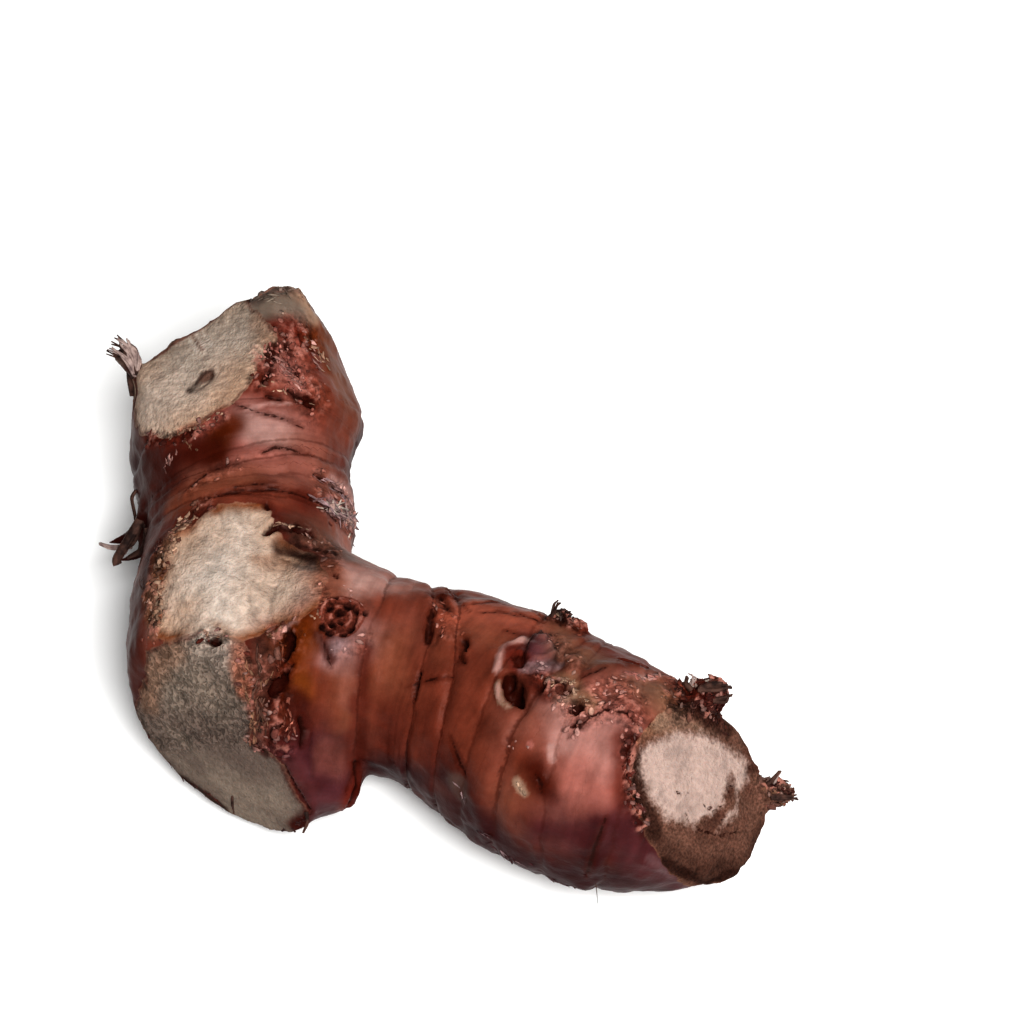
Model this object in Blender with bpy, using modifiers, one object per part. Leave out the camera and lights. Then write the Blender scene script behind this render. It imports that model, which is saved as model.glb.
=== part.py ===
"""Galangal rhizome, lying as picked: one grown piece, with no other parts.

A thick mother limb runs from front to back. Its front end is a knife cut, its back end turns up into the
cut of a stem, and a dry scar covers its crown. A side limb, ringed by old leaf scars, runs off to the right
and ends in another cut. Buds, root scars and the stubs of trimmed roots break the skin.

Metres, +Z up. The rhizome rests on the plane z = 0, and the origin is below the middle of its box.
Run with: blender --background --python part.py
"""

import math

import bmesh
import bpy
import numpy as np
from mathutils import Matrix, Vector, noise

MM = 0.001

# Driving dimensions, in millimetres, as drawn. A station is a cross-section of a limb:
# x, y, z of its centre, its half width across the limb and its half height.
MOTHER_LIMB = (
    (-31.6, -38.5, 13.4, 11.0, 10.2),
    (-32.6, -31.5, 14.9, 12.8, 12.7),
    (-33.8, -24.0, 16.3, 14.4, 14.8),
    (-34.8, -16.5, 17.3, 15.6, 16.5),
    (-35.0, -8.0, 18.0, 16.2, 17.3),
    (-34.4, 1.0, 18.0, 16.6, 17.2),
    (-33.0, 9.0, 18.2, 17.0, 16.5),
    (-32.8, 17.0, 18.8, 16.9, 16.5),
    (-34.2, 25.0, 20.0, 17.9, 17.8),
    (-34.6, 32.0, 21.3, 18.9, 19.8),
    (-33.4, 39.5, 23.5, 19.3, 19.0),
    (-30.5, 47.5, 28.3, 12.2, 14.8),
    (-27.2, 54.0, 32.0, 7.0, 9.0),
)
SIDE_LIMB = (
    (-30.0, -8.0, 18.0, 14.0, 14.0),
    (-22.0, -8.8, 18.0, 17.0, 16.6),
    (-13.0, -11.2, 17.6, 15.6, 16.2),
    (-6.0, -13.2, 17.3, 15.4, 16.0),
    (0.0, -15.5, 17.5, 16.3, 16.4),
    (8.0, -20.6, 18.3, 17.5, 17.3),
    (17.0, -27.6, 19.3, 18.5, 18.4),
    (26.0, -32.2, 19.4, 18.0, 18.3),
    (34.0, -34.6, 18.2, 15.5, 16.8),
    (39.5, -36.2, 17.7, 13.0, 14.8),
    (44.0, -37.6, 17.4, 10.8, 12.0),
    (48.5, -38.2, 17.4, 7.8, 8.2),
    (52.0, -38.4, 17.0, 4.6, 4.6),
)
UNDER_LOBE = (
    (-23.0, -12.0, 15.0, 9.5, 9.5),
    (-21.0, -20.0, 12.5, 8.0, 9.0),
    (-20.4, -31.5, 8.8, 6.6, 7.2),
)
# The middle of the finished rhizome's box in the drawing, which becomes the origin.
BOX_MIDDLE = (-1.04, 2.12)

# Sampling of the limbs, and the size of the voxels that grow them into one body.
RINGS_PER_LIMB = 60
SIDES = 40
GROW_VOXEL = 0.9
GROW_SMOOTHING = 8
SKIN_VOXEL = 0.8
SKIN_SMOOTHING = 2
FINE_VOXEL = 0.55
FINE_SMOOTHING = 1
TRIANGLES = 10500

# Cuts and a break: a point on the flat, its outward direction, how far its middle swells after drying,
# and how rough it is.
CUTS = {
    "front_cut": ((-36.6, -25.1, 14.0), (-0.52, -0.81, 0.27), 1.4, 0.6),
    "stem_cut": ((-40.4, 32.4, 37.0), (-0.36, 0.10, 0.93), -0.5, 0.3),
    "back_break": ((-39.0, 44.5, 36.0), (-0.44, 0.89, 0.10), 2.6, 1.6),
    "end_cut": ((40.2, -36.6, 22.3), (0.66, -0.45, 0.60), 1.4, 0.4),
}
CUT_LUMP = 5.0
CUTTER_SIDE = 60.0
CUTTER_DEPTH = 40.0

# Rings and folds: how far along its limb each lies, its lean to the limb's right-hand side and to the
# top, and its depth.
SIDE_RINGS = (
    (19.8, 0.5, -1.0, 0.45),
    (28.0, 5.7, 1.7, 0.7),
    (33.2, 8.8, 1.4, 0.7),
    (44.5, 3.5, 0.0, 0.4),
    (51.3, 1.0, -0.6, 0.6),
    (55.3, 3.0, 0.0, 0.4),
    (63.4, 2.0, 0.0, 0.6),
)
MOTHER_RINGS = (
    (30.0, 1.0, 0.5, 0.3),
    (37.5, 1.5, 0.5, 0.3),
    (49.5, 2.0, 1.0, 0.7),
    (53.0, 2.6, 1.5, 0.8),
    (56.5, 2.6, 1.0, 0.7),
    (60.0, 1.6, 0.5, 0.4),
    (67.5, 2.0, 1.0, 0.35),
    (79.0, 1.0, 1.0, 0.3),
)
GROOVE_WIDTH = 0.8
# The lip before each groove and the swelling after it: how far off, how wide, and the share of its depth.
GROOVE_LIP = (-1.5, 1.1, 0.45)
GROOVE_SWELLING = (2.4, 1.6, 0.25)
# Soft lumps over the skin: how wide, how high, and a seed.
SKIN_LUMPS = ((16.0, 0.7, 3), (6.0, 0.45, 4))

# Scars, pits and buds: the ends of each, its radius, its depth (a bud's is negative) and its raised rim.
SCARS = {
    "eye": ((-16.2, -13.4, 34.0), (-16.2, -13.4, 34.0), 2.6, 1.1, 0.9),
    "eye_middle": ((-16.2, -13.4, 34.0), (-16.2, -13.4, 34.0), 1.0, -0.8, 0.0),
    "crown_crack": ((-28.0, 5.0, 33.0), (-22.5, 5.6, 30.6), 1.0, 1.3, 0.4),
    "crown_dent": ((-24.5, 1.7, 31.5), (-21.0, 1.5, 30.0), 2.6, 0.8, 0.3),
    "crown_hole": ((-37.5, -18.2, 33.0), (-35.0, -18.5, 33.0), 1.4, 1.3, 0.4),
    "torn_top": ((-24.9, -16.7, 32.7), (-24.6, -19.0, 31.5), 1.8, 1.0, 0.6),
    "torn_middle": ((-26.0, -21.5, 29.0), (-25.4, -23.5, 26.0), 1.8, 0.9, 0.7),
    "torn_low": ((-24.4, -26.0, 22.5), (-24.0, -27.0, 19.5), 2.0, 0.9, 0.7),
    "hole_left": ((-2.6, -14.5, 33.5), (-1.6, -16.6, 33.7), 1.1, 1.1, 0.3),
    "hole_right": ((2.7, -17.2, 34.6), (2.2, -20.0, 34.4), 1.2, 1.1, 0.4),
    "bud": ((13.8, -19.8, 36.0), (13.0, -20.6, 36.0), 3.0, -1.0, 0.0),
    "bud_fold": ((9.0, -21.0, 35.0), (9.6, -25.0, 35.5), 1.3, 0.9, 0.4),
    "cavity": ((10.6, -25.0, 36.4), (11.6, -30.0, 36.6), 1.5, 2.0, 0.7),
    "crater": ((17.6, -25.5, 37.8), (19.6, -26.6, 37.8), 1.6, 1.0, 0.8),
    "crater_low": ((19.3, -31.8, 37.8), (20.2, -32.3, 37.8), 1.3, 1.0, 0.6),
    "pale_scar": ((11.6, -40.0, 32.5), (12.8, -42.0, 31.0), 1.2, -0.5, 0.0),
    "side_crack": ((24.6, -46.0, 30.0), (23.8, -49.6, 24.0), 0.8, 0.8, 0.2),
    "crust_fold": ((24.0, -22.5, 36.0), (33.5, -22.0, 32.0), 1.2, -0.8, 0.0),
    "red_crust_a": ((-30.0, 36.0, 40.2), (-24.0, 30.0, 37.6), 1.0, 0.8, 0.5),
    "red_crust_b": ((-30.5, 31.5, 40.2), (-25.5, 27.0, 37.4), 0.9, 0.7, 0.5),
    "red_crust_c": ((-27.5, 40.5, 39.5), (-23.0, 34.0, 36.5), 1.1, 0.7, 0.4),
    "stem_pith": ((-39.6, 31.6, 37.4), (-38.0, 32.6, 37.9), 1.2, 0.9, 0.2),
    "end_pith": ((37.8, -37.2, 23.2), (38.4, -37.8, 22.4), 0.9, 0.5, 0.1),
}
# The dry scar on the crown: its middle, radius, and how far it has sunk.
CROWN = ((-34.4, -6.5, 35.2), 12.0, 0.7)

# Root scars that this side of the photograph doesn't show, placed by rule.
HIDDEN_SCARS = 26
HIDDEN_SEED = 11

# Trimmed roots: points along each, and its radius at each point.
ROOTS = {
    "dark_stub": (
        ((35.5, -28.4, 27.5), (37.8, -26.4, 29.6), (40.2, -24.8, 30.8), (42.2, -24.2, 31.2), (43.4, -24, 31.2)),
        (3.0, 3.4, 3.1, 2.5, 1.3),
    ),
    "right_stub": (
        ((46, -34, 14.0), (49.6, -32.4, 13.6), (52.2, -31.8, 13.2), (53.8, -31.9, 13.0), (54.6, -32.0, 13.0)),
        (2.6, 2.5, 2.0, 1.4, 0.7),
    ),
    "right_spur": (((50.0, -32.4, 13.6), (51.0, -30.6, 14.4), (51.8, -29.4, 14.8)), (1.4, 1.1, 0.6)),
    "top_stub": (((16.5, -16.0, 30.0), (17.6, -12.6, 31.2), (18.2, -10.0, 31.8)), (2.6, 2.2, 1.2)),
    "top_chip": (((19.0, -15.0, 30.0), (20.6, -12.4, 30.6), (21.4, -11.0, 30.6)), (2.0, 1.7, 0.8)),
    "left_tuft": (
        ((-48.0, 35.0, 28.0), (-51.6, 38.2, 30.2), (-54.2, 40.2, 31.4), (-55.8, 41.0, 32.0)),
        (1.8, 1.5, 1.2, 0.7),
    ),
    "forked_root": (
        ((-46, 19, 24), (-49.8, 17.0, 22.5), (-50.8, 15.3, 19.0), (-53.0, 14.4, 16.2), (-56.6, 13.8, 15.2)),
        (1.7, 1.4, 1.2, 1.0, 0.6),
    ),
    "fork_branch": (
        ((-49.8, 16.6, 20.6), (-49.4, 13.8, 17.8), (-51.2, 11.6, 15.6), (-54.4, 10.6, 15.0)),
        (1.1, 1.0, 0.9, 0.6),
    ),
    "back_stub_a": (((-30.0, 44.0, 16.0), (-29.5, 49.6, 14.4), (-29.3, 51.8, 13.8)), (3.0, 2.5, 1.5)),
    "back_stub_b": (((0.0, -4.0, 14.0), (0.6, 0.8, 12.4), (1.0, 2.4, 11.8)), (2.8, 2.3, 1.4)),
    "back_stub_c": (((30.0, -18.0, 14.0), (31.6, -15.0, 12.2), (32.6, -13.6, 11.4)), (2.7, 2.4, 1.4)),
}
ROOT_SIDES = 2
# Small unevenness over everything, the roots too.
GRAIN_SIZE = 2.6
GRAIN_HEIGHT = 0.35
WELD = 0.02

# The three low places that it rests on, and how much of each is worn flat.
RESTS = ((-37.0, -9.0), (-34.0, 33.0), (27.0, -33.0))
REST_REACH = 11.0
REST_FLAT = 0.25
REST_PASSES = 4


def clear_scene():
    for obj in list(bpy.data.objects):
        bpy.data.objects.remove(obj, do_unlink=True)


def collection_named(name):
    found = bpy.data.collections.new(name)
    bpy.context.scene.collection.children.link(found)
    return found


def object_of(name, build, into):
    """A new object in the collection, with the mesh that a bmesh holds."""
    mesh = bpy.data.meshes.new(name)
    build.to_mesh(mesh)
    build.free()
    obj = bpy.data.objects.new(name, mesh)
    into.objects.link(obj)
    return obj


def apply_modifiers(obj):
    """The object's mesh becomes what its modifiers make of it."""
    graph = bpy.context.evaluated_depsgraph_get()
    made = bpy.data.meshes.new_from_object(obj.evaluated_get(graph))
    old = obj.data
    obj.modifiers.clear()
    obj.data = made
    bpy.data.meshes.remove(old)


def places_of(obj):
    """The object's vertices and their normals, the places in millimetres."""
    mesh = obj.data
    places = np.empty(len(mesh.vertices) * 3)
    mesh.vertices.foreach_get("co", places)
    normals = np.array([v.vector[:] for v in mesh.vertex_normals])
    return places.reshape(-1, 3) / MM, normals


def move_to(obj, places):
    obj.data.vertices.foreach_set("co", (places * MM).ravel())
    obj.data.update()


def smooth_step(low, high, value):
    t = np.clip((value - low) / (high - low), 0, 1)
    return t * t * (3 - 2 * t)


def sections_of(stations, count):
    """Sections along a Catmull-Rom curve through the stations: rows like theirs."""
    rows = np.array(stations, float)
    padded = np.vstack([2 * rows[0] - rows[1], rows, 2 * rows[-1] - rows[-2]])
    found = []
    for t in np.linspace(0, len(rows) - 1 - 1e-9, count):
        i = int(t)
        f = t - i
        a, b, c, d = padded[i : i + 4]
        curve = 2 * b + (c - a) * f + (2 * a - 5 * b + 4 * c - d) * f**2 + (3 * b - a - 3 * c + d) * f**3
        found.append(curve / 2)
    return np.array(found)


def frames_of(centres):
    """Unit vectors along a limb, level across it, and up, at each of its centres."""
    along = np.gradient(centres, axis=0)
    along /= np.linalg.norm(along, axis=1)[:, None]
    across = np.cross(along, (0, 0, 1))
    across /= np.linalg.norm(across, axis=1)[:, None]
    return along, across, np.cross(across, along)


def loft(name, stations, into):
    """A closed tube through the oval sections of a limb, ended by a point just beyond each last ring."""
    sections = sections_of(stations, RINGS_PER_LIMB) * MM
    centres = sections[:, :3]
    along, across, up = frames_of(centres)
    build = bmesh.new()
    rings = []
    for row in range(RINGS_PER_LIMB):
        wide, tall = sections[row, 3:]
        ring = []
        for k in range(SIDES):
            angle = math.tau * k / SIDES
            place = centres[row] + across[row] * wide * math.cos(angle) + up[row] * tall * math.sin(angle)
            ring.append(build.verts.new(place))
        rings.append(ring)
    for first, second in zip(rings, rings[1:]):
        for k in range(SIDES):
            build.faces.new((first[k - 1], first[k], second[k], second[k - 1]))
    for end, sign in ((0, -1), (-1, 1)):
        tip = build.verts.new(centres[end] + along[end] * sign * 2 * MM)
        for k in range(SIDES):
            build.faces.new((rings[end][k - 1], rings[end][k], tip))
    bmesh.ops.recalc_face_normals(build, faces=build.faces)
    return object_of(name, build, into)


def remesh(obj, voxel, smoothing):
    """A new even skin over the object, with its creases softened."""
    voxels = obj.modifiers.new("voxels", "REMESH")
    voxels.mode = "VOXEL"
    voxels.voxel_size = voxel * MM
    soften = obj.modifiers.new("soften", "SMOOTH")
    soften.factor = 0.6
    soften.iterations = smoothing
    apply_modifiers(obj)


def grow_together(name, pieces, voxel, smoothing, into):
    """The overlapping pieces as one closed body."""
    build = bmesh.new()
    for piece in pieces:
        build.from_mesh(piece.data)
        bpy.data.objects.remove(piece, do_unlink=True)
    body = object_of(name, build, into)
    remesh(body, voxel, smoothing)
    return body


def box_cutter(name, point, outward, into):
    """A box whose inner face lies on the flat that a cut leaves."""
    direction = Vector(outward).normalized()
    turn = direction.to_track_quat("Z", "Y").to_matrix().to_4x4()
    centre = Vector(point) * MM + direction * CUTTER_DEPTH / 2 * MM
    size = Matrix.Diagonal((CUTTER_SIDE * MM, CUTTER_SIDE * MM, CUTTER_DEPTH * MM, 1))
    build = bmesh.new()
    bmesh.ops.create_cube(build, size=1, matrix=Matrix.Translation(centre) @ turn @ size)
    box = object_of(name, build, into)
    box.hide_render = True
    box.display_type = "WIRE"
    return box


def cut_ends(body, into):
    for name, (point, outward, _, _) in CUTS.items():
        cut = body.modifiers.new(name, "BOOLEAN")
        cut.operation = "DIFFERENCE"
        cut.object = box_cutter(name, point, outward, into)
    apply_modifiers(body)
    remesh(body, SKIN_VOXEL, SKIN_SMOOTHING)


def limb_coordinates(places, stations):
    """For each place: how far along the limb it lies, its angle round it, and its distance over the radius."""
    sections = sections_of(stations, 240)
    centres = sections[:, :3]
    along, across, up = frames_of(centres)
    steps = np.linalg.norm(np.diff(centres, axis=0), axis=1)
    travelled = np.concatenate([[0], np.cumsum(steps)])
    nearest = np.array([np.argmin(((centres - place) ** 2).sum(1)) for place in places])
    offset = places - centres[nearest]
    beyond = (offset * along[nearest]).sum(1)
    side = (offset * across[nearest]).sum(1)
    rise = (offset * up[nearest]).sum(1)
    radius = sections[nearest, 3:].mean(1)
    return travelled[nearest] + beyond, np.arctan2(rise, side), np.hypot(side, rise) / radius


def lumps(places, scale, seed):
    """Soft noise between about -1 and 1, its lumps about as wide as the scale."""
    shift = Vector((seed * 7.3, seed * 3.1, seed * 5.7))
    return np.array([noise.noise(Vector(place) / scale + shift) for place in places])


def ring_relief(along, angle, rings):
    """Grooves round a limb, each with a lip on the older side and a slight swelling on the younger one."""
    height = np.zeros(len(along))
    for place, lean_side, lean_top, depth in rings:
        past = along - place - lean_side * np.cos(angle) - lean_top * np.sin(angle)
        height -= depth * np.exp(-((past / GROOVE_WIDTH) ** 2))
        for offset, width, share in (GROOVE_LIP, GROOVE_SWELLING):
            height += share * depth * np.exp(-(((past - offset) / width) ** 2))
    return height


def scar_relief(places, start, end, radius, depth, rim):
    """A pit or a bud along a short line, with a raised rim."""
    start, end = np.array(start), np.array(end)
    line = end - start
    length = max(line @ line, 1e-9)
    t = np.clip((places - start) @ line / length, 0, 1)
    distance = np.linalg.norm(places - start - t[:, None] * line, axis=1)
    pit = -depth * np.exp(-((distance / radius) ** 2) * 1.6)
    lip = rim * np.exp(-(((distance - 1.25 * radius) / (0.4 * radius)) ** 2))
    return pit + lip


def cut_faces(places, normals):
    """For each cut: how much of a cut face each place is, and how far it lies from the face's middle."""
    found = {}
    for name, (point, outward, _, _) in CUTS.items():
        direction = np.array(outward) / np.linalg.norm(outward)
        depth = np.abs((places - np.array(point)) @ direction)
        on_face = (1 - smooth_step(0.3, 1.0, depth)) * smooth_step(0.6, 0.9, normals @ direction)
        middle = (places * on_face[:, None]).sum(0) / on_face.sum()
        reach = np.linalg.norm(places - middle, axis=1)
        found[name] = (on_face, reach / np.percentile(reach[on_face > 0.5], 95))
    return found


def hidden_scars(places, normals, on_cut):
    """Seeded root scars on the lower half of the skin, as pits with a rim and as small buds."""
    draw = np.random.default_rng(HIDDEN_SEED)
    low = np.flatnonzero((normals[:, 2] < 0.1) & (places[:, 2] > 4) & (on_cut < 0.1))
    height = np.zeros(len(places))
    for place in places[draw.choice(low, HIDDEN_SCARS, replace=False)]:
        radius = draw.uniform(1.0, 2.2)
        depth = draw.choice((1.0, 0.8, -0.7))
        height += scar_relief(places, place, place, radius, depth, 0.5 if depth > 0 else 0.0)
    return height


def raise_relief(body):
    """The skin's rings, folds, scars and lumps, and the swelling of the cut faces."""
    places, normals = places_of(body)
    side_along, side_angle, side_share = limb_coordinates(places, SIDE_LIMB)
    mother_along, mother_angle, mother_share = limb_coordinates(places, MOTHER_LIMB)
    on_side = smooth_step(0.1, 0.4, mother_share - side_share)
    on_mother = smooth_step(0.1, 0.4, side_share - mother_share)
    faces = cut_faces(places, normals)
    on_cut = np.clip(sum(share for share, _ in faces.values()), 0, 1)

    sunk_from = np.linalg.norm(places - np.array(CROWN[0]), axis=1) + 1.5 * lumps(places, 4, 1)
    crown = 1 - smooth_step(CROWN[1] - 1.2, CROWN[1] + 0.6, sunk_from)
    rings = on_side * ring_relief(side_along, side_angle, SIDE_RINGS)
    rings += on_mother * (1 - crown) * ring_relief(mother_along, mother_angle, MOTHER_RINGS)
    height = rings * (1 + 0.5 * lumps(places, 9, 2)) - CROWN[2] * crown
    for wide, tall, seed in SKIN_LUMPS:
        height += tall * lumps(places, wide, seed)
    height = height * (1 - on_cut)
    for start, end, radius, depth, rim in SCARS.values():
        height += scar_relief(places, start, end, radius, depth, rim)
    height += hidden_scars(places, normals, on_cut)
    cut_lumps = lumps(places, CUT_LUMP, 5)
    for name, (on_face, reach) in faces.items():
        _, _, swelling, roughness = CUTS[name]
        height += on_face * swelling * (1 - np.clip(reach, 0, 1) ** 2)
        height += on_face * roughness * cut_lumps
    move_to(body, places + normals * height[:, None])


def roughen(body):
    """Small lumps over the whole body, so that the roots aren't smooth rods."""
    places, normals = places_of(body)
    move_to(body, places + normals * (GRAIN_HEIGHT * lumps(places, GRAIN_SIZE, 6))[:, None])


def thin_out(body):
    count = sum(len(face.vertices) - 2 for face in body.data.polygons)
    thinner = body.modifiers.new("thinner", "DECIMATE")
    thinner.ratio = TRIANGLES / count
    apply_modifiers(body)


def root(name, points, radii, into):
    """A tapering root as a closed mesh, made from a bevelled curve."""
    curve = bpy.data.curves.new(name, "CURVE")
    curve.dimensions = "3D"
    curve.bevel_depth = MM
    curve.bevel_resolution = ROOT_SIDES
    curve.use_fill_caps = True
    spline = curve.splines.new("POLY")
    spline.points.add(len(points) - 1)
    for knot, place, radius in zip(spline.points, points, radii):
        knot.co = (*(Vector(place) * MM), 1)
        knot.radius = radius
    guide = bpy.data.objects.new(name + "_guide", curve)
    into.objects.link(guide)
    graph = bpy.context.evaluated_depsgraph_get()
    build = bmesh.new()
    build.from_mesh(guide.evaluated_get(graph).to_mesh())
    bmesh.ops.remove_doubles(build, verts=build.verts, dist=1e-6)
    bpy.data.objects.remove(guide, do_unlink=True)
    return object_of(name, build, into)


def settle(body):
    """Lets the three rests reach just below the ground plane, and lifts nothing else."""
    places, normals = places_of(body)
    for x, y in RESTS:
        near = np.hypot(places[:, 0] - x, places[:, 1] - y)
        pull = np.exp(-((near / REST_REACH) ** 2)) * smooth_step(0.1, -0.5, normals[:, 2])
        for _ in range(REST_PASSES):
            lowest = places[near < REST_REACH, 2].min()
            places[:, 2] -= (lowest + REST_FLAT) * pull
        print("rest", (x, y), "reaches", places[near < REST_REACH, 2].min().round(3))
    move_to(body, places)


def wear_flats(body, into):
    """Cuts away what reaches below the ground plane."""
    cut = body.modifiers.new("ground", "BOOLEAN")
    cut.operation = "DIFFERENCE"
    size = Matrix.Diagonal((200 * MM, 200 * MM, CUTTER_DEPTH * MM, 1))
    build = bmesh.new()
    bmesh.ops.create_cube(build, size=1, matrix=Matrix.Translation((0, 0, -CUTTER_DEPTH / 2 * MM)) @ size)
    ground = object_of("ground", build, into)
    ground.hide_render = True
    ground.display_type = "WIRE"
    cut.object = ground
    apply_modifiers(body)


def weld_slivers(body):
    """Welds the slivers that a Boolean leaves, and leaves only triangles."""
    build = bmesh.new()
    build.from_mesh(body.data)
    bmesh.ops.remove_doubles(build, verts=build.verts, dist=WELD * MM)
    bmesh.ops.dissolve_degenerate(build, edges=build.edges, dist=WELD * MM)
    bmesh.ops.triangulate(build, faces=build.faces)
    loose = sum(not edge.is_manifold for edge in build.edges)
    build.to_mesh(body.data)
    build.free()
    print("edges that aren't closed:", loose)


def skin_material():
    skin = bpy.data.materials.new("galangal_skin")
    skin.use_nodes = True
    shader = skin.node_tree.nodes["Principled BSDF"]
    shader.inputs["Base Color"].default_value = (0.30, 0.12, 0.08, 1)
    shader.inputs["Roughness"].default_value = 0.55
    shader.inputs["Metallic"].default_value = 0.0
    return skin


def main():
    clear_scene()
    part = collection_named("galangal_root")
    cutters = collection_named("cutters")
    limbs = [
        loft("mother_limb", MOTHER_LIMB, part),
        loft("side_limb", SIDE_LIMB, part),
        loft("under_lobe", UNDER_LOBE, part),
    ]
    limb_body = grow_together("limbs", limbs, GROW_VOXEL, GROW_SMOOTHING, part)
    cut_ends(limb_body, cutters)
    raise_relief(limb_body)
    roots = [root(name, points, radii, part) for name, (points, radii) in ROOTS.items()]
    body = grow_together("galangal_rhizome", [limb_body, *roots], FINE_VOXEL, FINE_SMOOTHING, part)
    roughen(body)
    thin_out(body)
    settle(body)
    wear_flats(body, cutters)
    weld_slivers(body)
    places, _ = places_of(body)
    print("box mm", places.min(0).round(2), places.max(0).round(2), len(body.data.polygons), "faces")
    body.data.transform(Matrix.Translation((-BOX_MIDDLE[0] * MM, -BOX_MIDDLE[1] * MM, 0)))
    body.data.materials.append(skin_material())
    body.data.shade_smooth()
    body.data.set_sharp_from_angle(angle=math.radians(50))


main()
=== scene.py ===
# %% [markdown]
# # A galangal rhizome
# A galangal root is a rhizome: a thick stem that creeps just under the soil. This one is a single grown
# piece, cut off with a knife at three places and left to dry, so its skin, its scars and its cut faces are
# all one surface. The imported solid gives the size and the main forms. This lesson makes a finer copy of it,
# presses the rings, cracks and scars into the copy, and then finishes each kind of surface as what it is.

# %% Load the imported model
import itertools
import math

import bpy
import numpy as np
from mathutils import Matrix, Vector
from mathutils.bvhtree import BVHTree
from mathutils.kdtree import KDTree


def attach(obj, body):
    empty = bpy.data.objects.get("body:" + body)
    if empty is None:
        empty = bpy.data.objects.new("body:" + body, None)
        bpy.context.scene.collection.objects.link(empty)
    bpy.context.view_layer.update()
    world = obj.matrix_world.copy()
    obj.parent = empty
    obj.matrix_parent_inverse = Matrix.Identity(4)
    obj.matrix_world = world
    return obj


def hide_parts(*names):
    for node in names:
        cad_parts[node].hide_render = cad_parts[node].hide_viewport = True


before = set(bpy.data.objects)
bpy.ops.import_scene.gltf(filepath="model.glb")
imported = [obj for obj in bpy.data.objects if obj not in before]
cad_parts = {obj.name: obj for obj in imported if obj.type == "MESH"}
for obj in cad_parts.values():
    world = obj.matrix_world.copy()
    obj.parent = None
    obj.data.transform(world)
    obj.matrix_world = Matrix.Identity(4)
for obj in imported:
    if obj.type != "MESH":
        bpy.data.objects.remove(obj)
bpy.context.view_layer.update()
cad_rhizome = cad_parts["galangal_rhizome"]
MM = 0.001

# %% [markdown]
# ## The camera
# The camera comes first, because some marks are placed by where they show in its square frame of 1024
# pixels. It looks down at 55 degrees, as steeply as the roundness of the cut faces says, through a long
# lens, so that the far end of the root isn't much smaller than the near one. At its target, 6 pixels are a
# millimetre.

# %% Add the camera
PIXELS = 1024
PIXELS_PER_MM = 6.0
LENS = 100.0
SENSOR = 36.0
ELEVATION = math.radians(55)
# Where the frame's origin was in the drawing of the root, and the pixel at which the drawing's origin shows.
DRAWN_FROM = Vector((-1.04, 2.12, 0.0))
DRAWN_ORIGIN = (450, 665)

view_right = Vector((1, 0, 0))
view_up = Vector((0, math.sin(ELEVATION), math.cos(ELEVATION)))
view_back = Vector((0, -math.cos(ELEVATION), math.sin(ELEVATION)))
shift = view_right * (PIXELS / 2 - DRAWN_ORIGIN[0]) + view_up * (DRAWN_ORIGIN[1] - PIXELS / 2)
camera_target = shift / PIXELS_PER_MM - DRAWN_FROM
camera_distance = PIXELS / PIXELS_PER_MM * LENS / SENSOR
camera_place = camera_target + view_back * camera_distance
bpy.ops.object.camera_add(location=camera_place * MM, rotation=(math.pi / 2 - ELEVATION, 0, 0))
camera = bpy.context.object
camera.name = "camera"
camera.data.lens = LENS
camera.data.sensor_width = SENSOR
camera.data.clip_start = 0.01
bpy.context.scene.camera = camera
print("camera", round(camera_distance), "mm from", [round(v, 1) for v in camera_target])

# %% [markdown]
# ## A finer skin
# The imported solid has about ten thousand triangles, each a millimetre or two wide, too coarse for cracks. A
# copy of it is merged, rounded by one subdivision and given a new even skin of voxels about half a
# millimetre wide, which is as fine as the 200,000 triangles of one piece allow. A hand sculptor would start
# the same way, with a remesh, and then work in the detail.

# %% Copy the solid and remesh it
VOXEL = 0.52


def select_only(obj):
    bpy.ops.object.select_all(action="DESELECT")
    obj.select_set(True)
    bpy.context.view_layer.objects.active = obj


def apply_modifier(obj, kind, **settings):
    """Adds a modifier to the object and applies it."""
    select_only(obj)
    bpy.ops.object.modifier_add(type=kind)
    modifier = obj.modifiers[-1]
    for name, value in settings.items():
        setattr(modifier, name, value)
    bpy.ops.object.modifier_apply(modifier=modifier.name)


skin = bpy.data.objects.new("rhizome_skin", cad_rhizome.data.copy())
bpy.context.scene.collection.objects.link(skin)
skin.data.materials.clear()
select_only(skin)
bpy.ops.object.mode_set(mode="EDIT")
bpy.ops.mesh.select_all(action="SELECT")
bpy.ops.mesh.remove_doubles(threshold=1e-6)
bpy.ops.object.mode_set(mode="OBJECT")
apply_modifier(skin, "SUBSURF", levels=1, render_levels=1)
apply_modifier(skin, "REMESH", mode="VOXEL", voxel_size=VOXEL * MM)
apply_modifier(skin, "SMOOTH", factor=0.5, iterations=5)
print("skin:", len(skin.data.vertices), "points,", 2 * len(skin.data.polygons), "triangles")

# %% [markdown]
# ## Measuring the skin
# Everything that follows asks three things of each point of the skin: where it lies, which way it faces,
# and where the camera sees it. Noise is made by a small function, so that it is the same at each run:
# random numbers at the corners of a lattice, blended smoothly between them.

# %% Read the points, and write the noise
def read_rows(items, field):
    """One vector of each item of a mesh, as the rows of an array."""
    found = np.empty(len(items) * 3)
    items.foreach_get(field, found)
    return found.reshape(-1, 3)


skin_places = read_rows(skin.data.vertices, "co") / MM
skin_normals = read_rows(skin.data.vertex_normals, "vector")

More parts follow.
